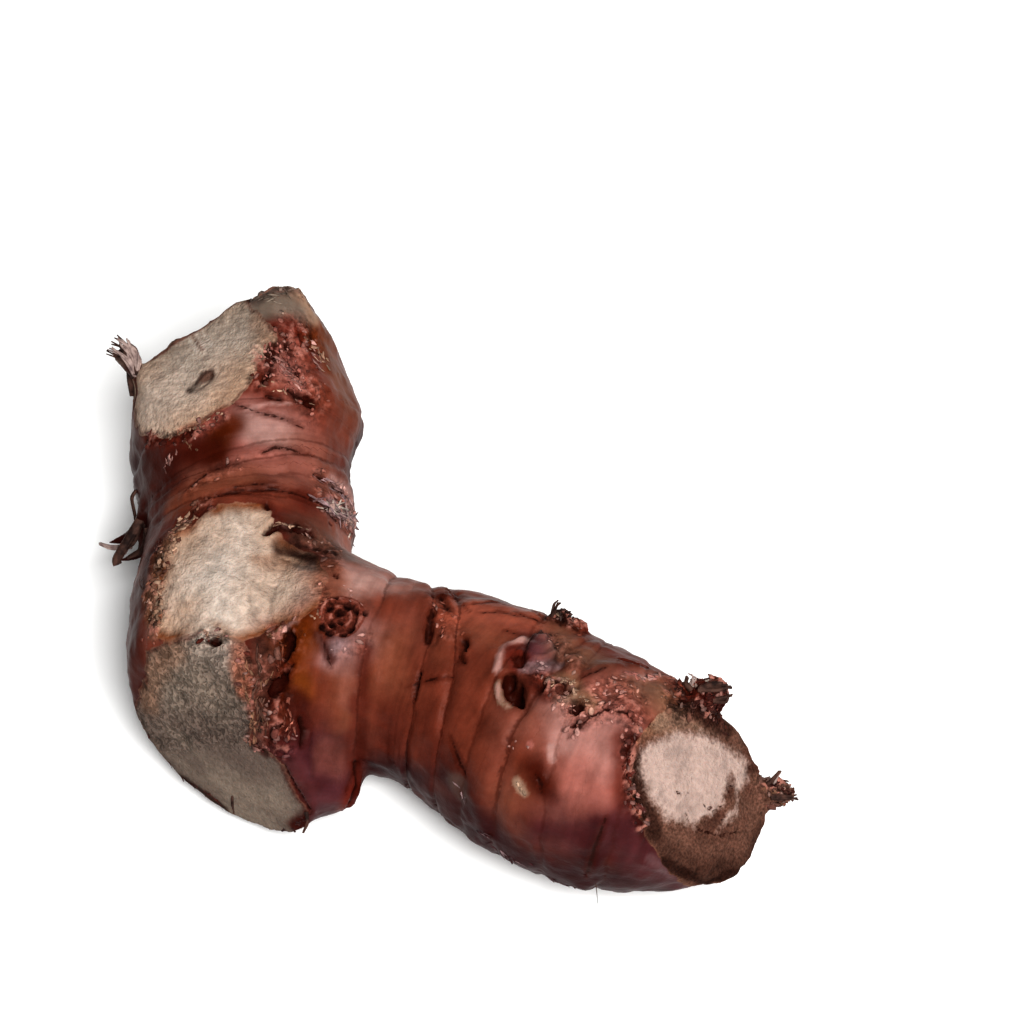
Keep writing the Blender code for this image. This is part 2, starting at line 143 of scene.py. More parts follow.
# The camera's place and its three directions once more, as arrays.
lens_place, to_right, to_top, to_lens = map(np.array, (camera_place, view_right, view_up, view_back))
from_camera = skin_places - lens_place
far = -from_camera @ to_lens
skin_pixels = np.column_stack((from_camera @ to_right, -from_camera @ to_top))
skin_pixels = skin_pixels / far[:, None] * LENS / SENSOR * PIXELS + PIXELS / 2
facing = skin_normals @ to_lens
LATTICE_TURN = np.array([[0.36, 0.48, -0.8], [-0.8, 0.6, 0.0], [0.48, 0.64, 0.6]])
LATTICE_PRIMES = np.array([73856093, 19349663, 83492791])


def smooth_step(low, high, value):
    t = np.clip((value - low) / (high - low), 0, 1)
    return t * t * (3 - 2 * t)


def lumps(places, size, seed):
    """Soft noise from -1 to 1, its lumps about as wide as the size."""
    at = places @ LATTICE_TURN / size + seed * 17.31
    cell = np.floor(at).astype(np.int64)
    part = at - cell
    part = part * part * (3 - 2 * part)
    total = np.zeros(len(places))
    for corner in itertools.product((0, 1), repeat=3):
        key = (cell + corner) @ LATTICE_PRIMES + seed * 9176
        key = (key ^ (key >> 13)) * 1274126177 & 0xFFFFFFFF
        value = ((key ^ (key >> 15)) & 0xFFFF) / 32767.5 - 1
        total += value * np.prod(np.where(corner, part, 1 - part), axis=1)
    return total


def lumpy(size, seed):
    """That noise at each point of the skin."""
    return lumps(skin_places, size, seed)


def ridges(size, seed):
    """Noise up to 1 at each point of the skin, with sharp, branching crests."""
    return 1 - np.abs(lumpy(size, seed)) - 0.5 * np.abs(lumpy(size / 2, seed + 1))


print("faces the camera:", int((facing > 0).sum()), "points of", len(facing))

# %% [markdown]
# ## Coordinates along the two limbs
# Leaf scars circle a limb as growth rings do, so they need to know how far along it each point lies. The
# stations are the cross-sections from which the solid was drawn: x, y and z of the centre, half width and
# half height.

# %% Measure along the limbs
MOTHER_LIMB = (
    (-31.6, -38.5, 13.4, 11.0, 10.2),
    (-32.6, -31.5, 14.9, 12.8, 12.7),
    (-33.8, -24.0, 16.3, 14.4, 14.8),
    (-34.8, -16.5, 17.3, 15.6, 16.5),
    (-35.0, -8.0, 18.0, 16.2, 17.3),
    (-34.4, 1.0, 18.0, 16.6, 17.2),
    (-33.0, 9.0, 18.2, 17.0, 16.5),
    (-32.8, 17.0, 18.8, 16.9, 16.5),
    (-34.2, 25.0, 20.0, 17.9, 17.8),
    (-34.6, 32.0, 21.3, 18.9, 19.8),
    (-33.4, 39.5, 23.5, 19.3, 19.0),
    (-30.5, 47.5, 28.3, 12.2, 14.8),
    (-27.2, 54.0, 32.0, 7.0, 9.0),
)
SIDE_LIMB = (
    (-30.0, -8.0, 18.0, 14.0, 14.0),
    (-22.0, -8.8, 18.0, 17.0, 16.6),
    (-13.0, -11.2, 17.6, 15.6, 16.2),
    (-6.0, -13.2, 17.3, 15.4, 16.0),
    (0.0, -15.5, 17.5, 16.3, 16.4),
    (8.0, -20.6, 18.3, 17.5, 17.3),
    (17.0, -27.6, 19.3, 18.5, 18.4),
    (26.0, -32.2, 19.4, 18.0, 18.3),
    (34.0, -34.6, 18.2, 15.5, 16.8),
    (39.5, -36.2, 17.7, 13.0, 14.8),
    (44.0, -37.6, 17.4, 10.8, 12.0),
    (48.5, -38.2, 17.4, 7.8, 8.2),
    (52.0, -38.4, 17.0, 4.6, 4.6),
)
SECTIONS = 240
# The points are compared with the sections in batches, which spares memory.
BATCHES = 60
# The patterns of the two limbs are this far apart, so that they never match.
LIMBS_APART = 200.0
drawn_places = skin_places + np.array(DRAWN_FROM)


def sections_of(stations):
    """Sections along a Catmull-Rom curve through the stations: rows like theirs."""
    rows = np.array(stations, float)
    padded = np.vstack([2 * rows[0] - rows[1], rows, 2 * rows[-1] - rows[-2]])
    found = []
    for t in np.linspace(0, len(rows) - 1 - 1e-9, SECTIONS):
        a, b, c, d = padded[int(t) : int(t) + 4]
        f = t - int(t)
        found.append(
            (2 * b + (c - a) * f + (2 * a - 5 * b + 4 * c - d) * f**2 + (3 * b - a - 3 * c + d) * f**3) / 2
        )
    return np.array(found)


def limb_coordinates(places, stations):
    """How far along the limb a place lies, its offsets to the side and up, and its share of the radius."""
    sections = sections_of(stations)
    centres = sections[:, :3]
    along = np.gradient(centres, axis=0)
    along /= np.linalg.norm(along, axis=1)[:, None]
    across = np.cross(along, (0, 0, 1))
    across /= np.linalg.norm(across, axis=1)[:, None]
    up = np.cross(across, along)
    travelled = np.concatenate([[0], np.cumsum(np.linalg.norm(np.diff(centres, axis=0), axis=1))])
    nearest = np.concatenate([
        np.argmin(((some[:, None] - centres[None]) ** 2).sum(2), axis=1)
        for some in np.array_split(places, BATCHES)
    ])
    offset = places - centres[nearest]
    side = (offset * across[nearest]).sum(1)
    rise = (offset * up[nearest]).sum(1)
    share = np.hypot(side, rise) / sections[nearest, 3:].mean(1)
    return travelled[nearest] + (offset * along[nearest]).sum(1), side, rise, share


side_along, side_side, side_rise, side_share = limb_coordinates(drawn_places, SIDE_LIMB)
mother_along, mother_side, mother_rise, mother_share = limb_coordinates(drawn_places, MOTHER_LIMB)
on_side = smooth_step(-0.05, 0.15, mother_share - side_share)
grown = np.where(
    (on_side > 0.5)[:, None],
    np.column_stack((side_along, side_side, side_rise)),
    np.column_stack((mother_along + LIMBS_APART, mother_side, mother_rise)),
)
print("points on the side limb:", int((on_side > 0.5).sum()))

# %% [markdown]
# ## Marks by place
# A crack, a pit or a stained patch is drawn as a painter would: as a stroke on the surface that the camera
# sees. Each stroke is a few named pixels. Rays from the camera find where they meet the skin, and what the
# stroke then does is worked out from distances on the skin itself, so it sits on the root from every side.

# %% Write the tools for strokes and outlines
skin_tree = BVHTree.FromObject(skin, bpy.context.evaluated_depsgraph_get())
STROKE_STEP = 2.0
# What is hidden from the camera counts as this far outside an outline, in millimetres.
HIDDEN = 9.0


def ray_through(px, py):
    """The direction in which the camera sees a pixel."""
    across = (px - PIXELS / 2) / PIXELS * SENSOR
    rise = (PIXELS / 2 - py) / PIXELS * SENSOR
    return (view_right * across + view_up * rise - view_back * LENS).normalized()


def met_at(px, py):
    """Where a pixel meets the skin, or comes nearest to it, in millimetres, and the normal there."""
    ray = ray_through(px, py)
    place, normal = skin_tree.ray_cast(camera_place * MM, ray)[:2]
    if place is None:
        place, normal = skin_tree.find_nearest((camera_place + ray * camera_distance) * MM)[:2]
    return np.array(place) / MM, np.array(normal)


def seen_at(px, py):
    return met_at(px, py)[0]


def stroke(pixels):
    """Points along a line that is drawn on the skin through the pixels."""
    corners = np.array(pixels, float)
    if len(corners) == 1:
        return seen_at(*corners[0])[None]
    found = []
    for a, b in zip(corners, corners[1:]):
        count = max(1, int(np.linalg.norm(b - a) / STROKE_STEP))
        found += [seen_at(*(a + (b - a) * k / count)) for k in range(count)]
    return np.array(found + [seen_at(*corners[-1])])


def distance_to(points, reach, widths=None):
    """How far each point of the skin is from the nearest of some points, in widths of the stroke there."""
    widths = np.ones(len(points)) if widths is None else widths
    close = ((skin_places > points.min(0) - reach) & (skin_places < points.max(0) + reach)).all(1)
    near = np.flatnonzero(close)
    found = np.full(len(skin_places), reach / widths.max())
    for point, width in zip(points, widths):
        found[near] = np.minimum(found[near], np.linalg.norm(skin_places[near] - point, axis=1) / width)
    return found


wobble = 0.35 * lumpy(3.5, 11) + 0.2 * lumpy(1.4, 12)


def dab(pixels, radius, strength=1.0):
    """A mask for a stroke of a brush of this radius. A broad stroke has a softer edge than a narrow one."""
    soft = min(1.0, radius / 4)
    apart = distance_to(stroke(pixels), 2 * radius + 1) / radius
    return strength * smooth_step(1.25 + 0.7 * soft, 0.7 - 0.75 * soft, apart + (1.1 - 0.4 * soft) * wobble)


def in_plane(px, py, through):
    """Where a pixel is, at the depth of a place."""
    ray = np.array(ray_through(px, py))
    reach = (through - lens_place) @ to_lens / (ray @ to_lens)
    return lens_place + reach * ray


def inside(corners):
    """How far inside an outline each place of the skin is, in millimetres. It is negative outside."""
    corners = np.array(corners, float)
    nearest = np.full(len(skin_pixels), np.inf)
    within = np.zeros(len(skin_pixels), bool)
    px, py = skin_pixels.T
    for a, b in zip(corners, np.roll(corners, -1, axis=0)):
        edge = b - a
        t = np.clip((skin_pixels - a) @ edge / (edge @ edge), 0, 1)
        nearest = np.minimum(nearest, np.linalg.norm(skin_pixels - a - t[:, None] * edge, axis=1))
        rows = (a[1] > py) != (b[1] > py)
        within ^= rows & (px < a[0] + (py - a[1]) * edge[0] / (edge[1] or 1e-9))
    depth = np.where(within, nearest, -nearest) / PIXELS_PER_MM
    return depth - HIDDEN * smooth_step(0.12, -0.12, facing)


print("the middle of the frame shows", seen_at(PIXELS / 2, PIXELS / 2).round(1))

# %% [markdown]
# ## Where each kind of surface is
# The root shows skin, a dry white scar on its crown, and three knife cuts that dried in different ways:
# grey and netted in front, beige at the stem, and white with a brown granular rim at the right-hand end.
# Their outlines are drawn by hand, in pixels. The break at the back isn't seen by the camera, and is found
# by its plane.

# %% Their outlines are drawn in pixels. The break at the back isn't seen by the camera, and is found
# by its plane.
crown_depth = inside((
    (196, 520), (220, 506), (250, 502), (267, 505), (273, 520), (284, 540), (312, 556), (328, 574), (322, 600),
    (306, 618), (290, 624), (262, 636), (244, 643), (222, 636), (204, 630), (172, 642), (157, 636), (152, 612),
    (154, 586), (164, 556), (180, 534),
))
front_depth = inside((
    (148, 652), (172, 640), (204, 630), (224, 637), (244, 644), (254, 664), (250, 700), (252, 740), (282, 760),
    (296, 786), (310, 812), (306, 850), (200, 850), (100, 760), (138, 705),
))
stem_depth = inside((
    (136, 362), (160, 340), (186, 322), (220, 300), (246, 296), (262, 318), (276, 330), (277, 342), (266, 357),
    (255, 364), (254, 374), (247, 388), (239, 400), (222, 412), (198, 426), (180, 436), (164, 440), (142, 434),
    (134, 420), (132, 390),
))
end_depth = inside((
    (637, 738), (650, 722), (668, 708), (700, 696), (740, 690), (790, 740), (800, 800), (790, 850), (760, 880),
    (706, 900), (664, 868), (648, 840), (634, 808), (628, 780), (628, 760),
))
white_depth = inside((
    (643, 752), (658, 741), (680, 736), (704, 738), (728, 748), (742, 762), (744, 780), (736, 794), (734, 812),
    (716, 828), (698, 828), (684, 820), (666, 816), (652, 800), (644, 774),
))
BREAK_POINT = np.array((-39.0, 44.5, 36.0))
BREAK_OUTWARD = np.array((-0.44, 0.89, 0.10))
BREAK_REACH = 5.0
# Where the brown rim has crumbled over the right side of the white core.
WHITE_LOST = ((730, 780), (726, 802), (706, 824))
break_out = (drawn_places - BREAK_POINT) @ BREAK_OUTWARD
break_depth = 6 * (skin_normals @ BREAK_OUTWARD - 0.62) + 1.2 * smooth_step(4.5, 1.5, np.abs(break_out))
break_depth = np.where(np.abs(break_out) < BREAK_REACH, break_depth - 0.6, -HIDDEN)
ragged = 0.5 * lumpy(2.6, 21) + 0.3 * lumpy(1.1, 22)


def surface_mask(depth, softness=0.6):
    """A mask from how far inside an outline a place is, with a ragged edge."""
    return smooth_step(-softness, softness, depth + ragged)


crown = surface_mask(crown_depth)
front = surface_mask(front_depth, 0.5) * (1 - crown)
stem = surface_mask(stem_depth, 0.4)
end = surface_mask(end_depth, 0.5)
white = smooth_step(-2.8, 2.2, white_depth + 0.9 * ragged - dab(WHITE_LOST, radius=1.8, strength=2.4))
broken = surface_mask(break_depth, 0.6) * (1 - stem)
bare = np.clip(crown + front + stem + end + broken, 0, 1)
print("share of the surface without skin:", round(float(bare.mean()), 2))

# %% [markdown]
# ## Rings
# Each leaf that once wrapped the rhizome left a ring: a thin dark line where its base tore off, with a
# slightly raised lip on the older side. The rings lean, so a ring is given by how far along its limb it
# lies, how much it leans to the limb's right-hand side and to its top, and how deep it is. Noise makes the
# line wander and break.

# %% Find the distance to the nearest ring
SIDE_RINGS = (
    # how far along, lean to the side, lean to the top, depth
    (19.8, 0.5, -1.0, 0.5),
    (28.0, 5.7, 1.7, 0.85),
    (33.2, 8.8, 1.4, 1.0),
    (44.5, 3.5, 0.0, 0.4),
    (51.3, 1.0, -0.6, 0.6),
    (55.3, 3.0, 0.0, 0.4),
    (63.4, 2.0, 0.0, 0.6),
)
MOTHER_RINGS = (
    (30.0, 1.0, 0.5, 0.3),
    (37.5, 1.5, 0.5, 0.3),
    (49.5, 2.0, 1.0, 0.4),
    (53.0, 2.6, 1.5, 0.3),
    (56.5, 2.6, 1.0, 0.5),
    (60.0, 1.6, 0.5, 0.4),
    (67.5, 2.0, 1.0, 0.5),
    (79.0, 1.0, 1.0, 0.4),
)
RING_REACH = 4.0
ring_past = np.full(len(skin_places), RING_REACH)
ring_weight = np.zeros(len(skin_places))
wander = 0.45 * lumpy(5, 31) + 0.2 * lumpy(1.7, 32)
for rings, along, side, rise, owned in (
    (SIDE_RINGS, side_along, side_side, side_rise, on_side > 0.5),
    (MOTHER_RINGS, mother_along, mother_side, mother_rise, on_side <= 0.5),
):
    out = np.hypot(side, rise)
    for place, lean_side, lean_top, depth in rings:
        past = along - place - lean_side * side / out - lean_top * rise / out + wander
        nearer = owned & (np.abs(past) < np.abs(ring_past))
        ring_past = np.where(nearer, past, ring_past)
        ring_weight = np.where(nearer, depth, ring_weight)
ring_weight *= (1 - bare) * (0.75 + 0.5 * lumpy(7, 33))
print("points within a millimetre of a ring:", int((np.abs(ring_past) < 1).sum()))

# %% [markdown]
# ## Cracks, holes and crust
# Dry crevices, small holes left by roots and torn crust are drawn one by one. A crack has pixels, a half
# width and a depth in millimetres, and it narrows towards its ends. A pit is a short, wider stroke with a
# rough floor. A lip is a thin edge of torn skin that stands up beside a pit. Crust is the rough, corky
# layer that forms over a wound. It is drawn as broad strokes, each with its radius and strength.

# %% Draw the cracks and the crust
CRACK_REACH = 3.5
CRACK_FAR = 5.0
CRACKS = (
    # pixels, half width, depth
    (((264, 534), (272, 529), (282, 526), (292, 527), (302, 529), (311, 536)), 0.8, 1.0),
    (((266, 504), (268, 510)), 0.5, 0.6),
    (((207, 640), (214, 641), (221, 640)), 0.9, 1.1),
    (((288, 630), (290, 645), (286, 660)), 0.8, 0.9),
    (((293, 664), (284, 676), (276, 690), (269, 704)), 0.55, 0.8),
    (((268, 744), (272, 729), (285, 724)), 0.45, 0.6),
    (((300, 718), (305, 731), (301, 746)), 0.6, 0.8),
    (((228, 402), (246, 408), (256, 412), (274, 416), (286, 420), (303, 428)), 0.26, 0.35),
    (((288, 390), (298, 398), (316, 408)), 0.65, 0.9),
    (((274, 326), (287, 340), (290, 358)), 0.5, 0.7),
    (((256, 390), (268, 374), (280, 350)), 0.45, 0.6),
    (((266, 396), (282, 401)), 0.45, 0.5),
    (((298, 340), (312, 350), (325, 358)), 0.3, 0.4),
    (((284, 358), (294, 370), (304, 388)), 0.32, 0.5),
    (((262, 453), (276, 447), (288, 449), (313, 456)), 0.28, 0.4),
    (((234, 487), (256, 484), (277, 483)), 0.24, 0.3),
    (((200, 501), (222, 494), (240, 491), (272, 489), (300, 494), (320, 503), (340, 519)), 0.36, 0.7),
    (((314, 474), (330, 484), (349, 501)), 0.32, 0.4),
    (((186, 492), (200, 479), (212, 471), (232, 462)), 0.26, 0.3),
    (((433, 609), (429, 625), (427, 643)), 0.6, 0.8),
    (((421, 672), (416, 690), (413, 703)), 0.36, 0.5),
    (((410, 686), (430, 680), (452, 677)), 0.24, 0.3),
    (((450, 736), (456, 752), (462, 767), (466, 777)), 0.34, 0.35),
    (((439, 596), (446, 606), (453, 614)), 0.45, 0.6),
    (((446, 589), (457, 601)), 0.36, 0.5),
    (((441, 635), (442, 636)), 0.5, 0.7),
    (((463, 640), (466, 650)), 0.6, 0.9),
    (((459, 656), (465, 663)), 0.45, 0.5),
    (((515, 612), (530, 618), (544, 623)), 0.22, 0.25),
    (((503, 630), (520, 635), (536, 634)), 0.22, 0.25),
    (((530, 609), (546, 621)), 0.22, 0.25),
    (((470, 605), (492, 603), (512, 607)), 0.2, 0.2),
    (((478, 614), (500, 612), (520, 617)), 0.18, 0.2),
    (((452, 598), (462, 604), (470, 612)), 0.22, 0.25),
    (((538, 612), (552, 618), (566, 628)), 0.22, 0.3),
    (((512, 678), (514, 691), (521, 707)), 1.2, 1.1),
    (((549, 692), (556, 683), (564, 684), (569, 692)), 0.42, 0.6),
    (((571, 714), (576, 707), (584, 708)), 0.5, 0.7),
    (((570, 728), (578, 721)), 0.32, 0.4),
    (((575, 680), (591, 673), (606, 667)), 0.26, 0.4),
    (((620, 661), (632, 663), (650, 669)), 0.42, 0.5),
    (((568, 738), (590, 717), (606, 709), (628, 714), (640, 728)), 0.28, 0.4),
    (((638, 736), (630, 752), (626, 772)), 0.36, 0.5),
    (((682, 816), (700, 830), (720, 836), (744, 830)), 0.26, 0.35),
    (((683, 804), (689, 820)), 0.22, 0.3),
    (((675, 790), (681, 794), (679, 799)), 0.2, 0.2),
    (((686, 789), (690, 797)), 0.18, 0.2),
    (((700, 802), (712, 812), (722, 806)), 0.22, 0.3),
    (((720, 790), (728, 784), (736, 788)), 0.22, 0.3),
    (((716, 818), (730, 822)), 0.2, 0.3),
    (((648, 728), (652, 722), (656, 727)), 0.3, 0.3),
    (((345, 815), (352, 800), (357, 785), (356, 762)), 0.6, 0.7),
    (((280, 756), (295, 785), (313, 814)), 0.32, 0.4),
    (((321, 634), (326, 652), (331, 668)), 0.3, 0.4),
    (((586, 878), (594, 850), (606, 818)), 0.4, 0.3),
    (((536, 774), (541, 784), (541, 794)), 0.36, 0.3),
)
CRUST = (
    # pixels, radius, strength
    (((686, 684), (706, 682), (724, 688)), 4.4, 1.5),
    (((774, 780), (792, 786), (784, 806)), 3.4, 1.4),
    (((550, 604), (564, 612), (574, 620)), 2.6, 1.3),
    (((326, 500), (346, 516), (364, 534)), 2.2, 1.0),
    (((316, 476), (340, 488)), 1.4, 0.6),
    (((612, 696), (636, 706), (634, 716)), 2.2, 0.8),
    (((240, 292), (276, 288), (306, 290)), 2.2, 0.6),
    (((302, 332), (290, 350), (296, 372), (310, 396)), 3.8, 1.0),
    (((272, 352), (264, 378)), 2.6, 0.9),
    (((284, 640), (272, 670), (266, 700), (278, 738)), 3.2, 0.85),
    (((246, 656), (252, 700)), 1.6, 0.7),
    (((162, 548), (152, 590), (154, 628)), 2.2, 0.9),
    (((172, 534), (205, 505)), 1.8, 0.7),
    (((300, 536), (326, 548), (332, 566)), 2.0, 0.7),
    (((318, 584), (324, 600)), 1.4, 0.7),
    (((434, 600), (444, 612), (450, 634)), 1.6, 0.5),
    (((554, 640), (574, 662)), 2.6, 0.6),
    (((540, 676), (560, 696), (580, 718), (606, 706), (636, 712)), 2.2, 1.0),
    (((596, 692), (625, 684), (640, 700)), 2.0, 0.8),
    (((632, 730), (627, 756), (629, 790), (640, 822)), 1.4, 1.0),
    (((676, 702), (700, 690), (724, 690)), 3.0, 1.0),
    (((764, 784), (792, 792)), 3.0, 0.8),
    (((322, 492), (345, 502), (358, 520)), 1.5, 0.8),
    (((190, 492), (214, 474), (240, 462)), 1.4, 0.5),
    (((150, 440), (190, 434), (224, 416)), 1.3, 0.9),
    (((206, 634), (226, 638)), 1.4, 0.8),
    (((252, 744), (286, 752)), 1.6, 0.8),
    (((338, 646), (352, 652), (366, 640)), 1.8, 0.5),
)
PITS = (
    # pixels, radius, depth
    (((508, 680), (511, 692), (519, 704)), 0.95, 1.3),
    (((516, 702), (520, 690)), 0.7, 0.9),
    (((540, 690), (545, 688)), 0.9, 0.4),
    (((560, 689), (566, 690)), 0.9, 0.5),
    (((576, 713), (580, 711)), 0.75, 0.8),
    (((572, 726), (573, 727)), 0.55, 0.5),
    (((544, 633), (544, 634)), 0.4, 0.5),
    (((516, 656), (518, 662)), 1.0, 0.7),
    (((298, 531), (309, 533)), 0.8, 0.9),
    (((267, 533), (274, 528)), 0.7, 0.8),
    (((335, 574), (337, 577)), 0.5, 0.5),
    (((214, 640), (216, 641)), 0.9, 0.9),
    (((289, 638), (291, 646)), 0.9, 0.9),
    (((287, 670), (288, 671)), 0.5, 0.6),
    (((284, 680), (274, 693)), 1.0, 0.8),
    (((330, 524), (331, 525)), 0.6, 0.5),
    (((307, 399), (312, 404)), 0.8, 0.6),
    (((273, 345), (268, 362)), 1.0, 0.6),
    (((679, 794),), 0.3, 0.2),
    (((730, 792),), 0.35, 0.25),
    (((722, 800),), 0.3, 0.2),
    (((710, 808),), 0.3, 0.2),
)
pit = np.zeros(len(skin_places))
pit_rough = lumpy(0.9, 45)
pit_relief = np.zeros(len(skin_places))
for pixels, radius, depth in PITS:
    apart = distance_to(stroke(pixels), 2 * radius + 1) / radius + 0.5 * wobble + 0.3 * pit_rough
    pit = np.maximum(pit, smooth_step(1.05, 0.7, apart))
    pit_relief -= depth * smooth_step(1.2, 0.5, apart) - 0.25 * depth * np.exp(-((apart - 1.4) ** 2) * 9)
pit_relief += 0.6 * pit * pit_rough
LIPS = (
    # pixels, half width, rise
    (((531, 638), (518, 641), (506, 646), (500, 657), (497, 672)), 0.42, 0.45),
    (((498, 686), (500, 699), (508, 710)), 0.4, 0.4),
    (((550, 685), (559, 681), (568, 683), (573, 692)), 0.5, 0.5),
    (((628, 675), (642, 679), (657, 678)), 0.6, 0.5),
    (((200, 636), (208, 632), (222, 634), (228, 641)), 0.45, 0.5),
    (((262, 532), (274, 524), (292, 526), (308, 532)), 0.45, 0.4),
    (((276, 636), (296, 622), (304, 612)), 0.5, 0.4),
    (((246, 410), (268, 404), (290, 404)), 0.5, 0.4),
)
lip = np.zeros(len(skin_places))
for pixels, half_width, rise in LIPS:
    apart = distance_to(stroke(pixels), reach=3) / half_width + 1.1 * wobble + 0.5 * pit_rough
    lip = np.maximum(lip, rise * np.exp(-(apart**2)))
crack_near = np.full(len(skin_places), CRACK_FAR)
crack_relief = np.zeros(len(skin_places))
breaks = 0.35 * lumpy(1.6, 41) + 0.2 * lumpy(0.9, 40)
for pixels, half_width, depth in CRACKS:
    points = stroke(pixels)
    taper = np.sqrt(np.sin(np.linspace(0.12, math.pi - 0.12, len(points))))
    apart = distance_to(points, CRACK_REACH, half_width * (0.25 + 0.75 * taper)) + breaks
    crack_near = np.minimum(crack_near, apart)
    crack_relief -= depth * np.exp(-(apart**2)) - 0.35 * depth * np.exp(-((apart - 2.0) ** 2) * 2)
crack_near = np.clip(crack_near, 0, CRACK_FAR)
crust = np.zeros(len(skin_places))
for pixels, radius, strength in CRUST:
    crust = np.maximum(crust, dab(pixels, radius, strength))
print("cracks:", len(CRACKS), " share of crust:", round(float((crust > 0.5).mean()), 3))

# %% [markdown]
# ## The eye
# Where a root was pulled off, it left a round scar like an eye: rings round a hole, with a circle of
# smaller holes where the vessels were. Its rings are worked out from the distance to its middle, and each
# hole is a pixel with a radius in millimetres.

# %% Shape the eye scar
EYE_PIXEL = (341, 616)
EYE_RADIUS = 3.9
EYE_RING = 1.4
EYE_SUNK = 0.35
EYE_HOLES = (
    # pixel across and down, radius
    (340, 614, 0.6), (331, 608, 0.65), (348, 606, 0.75), (355, 611, 0.5), (333, 624, 0.6), (341, 623, 0.5),
    (323, 627, 0.75), (329, 633, 0.75), (350, 629, 0.6), (343, 634, 0.45), (336, 596, 0.45), (366, 613, 0.4),
)
eye_middle = seen_at(*EYE_PIXEL)
eye_far = np.linalg.norm(skin_places - eye_middle, axis=1) + 0.9 * wobble
eye = smooth_step(EYE_RADIUS + 0.4, EYE_RADIUS - 0.8, eye_far)
eye_waves = 0.28 * np.cos(math.tau * (eye_far - 0.3) / EYE_RING)
eye_relief = eye * (eye_waves + 0.25 * lumpy(1.2, 43) - EYE_SUNK)
eye_hole = np.zeros(len(skin_places))
for px, py, radius in EYE_HOLES:
    apart = distance_to(seen_at(px, py)[None], reach=2) + 0.3 * wobble
    eye_hole = np.maximum(eye_hole, smooth_step(1.3 * radius, 0.6 * radius, apart))
eye_relief -= 0.75 * eye_hole
print("eye scar of", 2 * EYE_RADIUS, "mm with", len(EYE_HOLES), "holes")

# %% [markdown]
# ## The bud
# Further along, a sleeping bud sits in the angle of a leaf scar: a small pointed dome, wrapped in purple
# scales that overlap like shingles. The dome and its folds come from the distances to its middle, measured
# across and up.

# %% Shape the bud
BUD_MIDDLE = (541, 651)
BUD_HALF_WIDTH = 2.5
BUD_HALF_HEIGHT = 3.0
BUD_RISE = 1.0
BUD_REACH = 6.0
bud_offset = skin_places - seen_at(*BUD_MIDDLE)
bud_across = bud_offset @ to_right / BUD_HALF_WIDTH
bud_up = bud_offset @ to_top / BUD_HALF_HEIGHT
bud_missed = np.abs(bud_offset @ to_lens) > BUD_REACH
bud_far = np.hypot(bud_across * (1 + 0.35 * np.clip(bud_up, -1, 1)), bud_up)
bud_far = bud_far + HIDDEN * bud_missed + 0.1 * wobble
bud = smooth_step(1.05, 0.9, bud_far)
bud_folds = np.hypot(bud_across, bud_up - 0.9)
bud_relief = BUD_RISE * smooth_step(1.1, 0.4, bud_far) - 0.6 * np.exp(-(((bud_far - 1.1) / 0.16) ** 2))
bud_relief += bud * 0.22 * np.cos(math.tau * bud_folds * 2.2)
print("bud of", 2 * BUD_HALF_WIDTH, "x", 2 * BUD_HALF_HEIGHT, "mm")

# %% [markdown]
# ## Painting the skin
# Fresh galangal isn't one colour. New growth is pink and glossy, older skin is orange-brown, what lay
# against the soil is purple-brown, and there are rusty stains round every wound. So the skin is painted, as
# a sculptor would paint a cast: a mottled coat, darker where it faces sideways and down, which is partly
# that purple-brown and partly painted shade, and then strokes of a small palette, each a few pixels of the
# frame with a radius in millimetres and a strength. A few strokes paint shade along the lower edges and the
# left flank, a shadow along the top edge, and highlights. Broad strokes have soft edges.
#
# Colours are sRGB hex values, and one function turns them to the linear values that the shader needs. They
# are written as they look in the studio's light, which shows a paint brighter than it is. So each coat is
# divided by that gain in the end.

# %% Mix the palette and lay the first coat
SKIN_GAIN = 1.7
CUT_GAIN = 1.3
PALETTE = {
    "chalk": "#cbbcb0",
    "cream": "#bb9c86",
    "lilac": "#a98f90",
    "beige": "#94705a",
    "pale": "#c79d94",
    "blush": "#dcb2a6",
    "pink": "#b9796e",
    "salmon": "#b86c56",
    "rose": "#a36a5a",
    "tan": "#945a44",
    "orange": "#8b4b39",
    "ochre": "#7d3e12",
    "gold": "#96571f",
    "brown": "#6b3024",
    "red": "#7a3427",
    "redbrown": "#864836",
    "bud": "#6e4248",
    "umber": "#49201a",
    "rust": "#4e1a0c",
    "plum": "#5c3033",
    "purple": "#3a1418",
    "soot": "#35201a",
    "grey": "#6f6159",
    "bark": "#705246",
    "ash": "#948679",
}


def linear(hex_colour, gain=1.0):
    """An sRGB hex colour as linear red, green, blue and alpha, divided by a gain."""
    found = []
    for k in (1, 3, 5):
        value = int(hex_colour[k : k + 2], 16) / 255
        found.append((value / 12.92 if value <= 0.04045 else ((value + 0.055) / 1.055) ** 2.4) / gain)
    return (*found, 1.0)


def lay(coat, name, mask):
    """Lays a colour of the palette over a coat where the mask is."""
    coat += (np.array(linear(PALETTE[name])[:3]) - coat) * mask[:, None]


def paint(coat, strokes):
    for name, pixels, radius, strength in strokes:
        lay(coat, name, dab(pixels, radius, strength))


skin_coat = np.zeros((len(skin_places), 3))
everywhere = np.ones(len(skin_places))
lay(skin_coat, "brown", everywhere)
lay(skin_coat, "orange", smooth_step(-0.5, 0.7, lumpy(9, 51)))
lay(skin_coat, "rose", 0.6 * smooth_step(0.0, 0.9, lumpy(14, 52)))
lay(skin_coat, "rust", 0.6 * smooth_step(0.25, 0.9, lumpy(7, 53)))
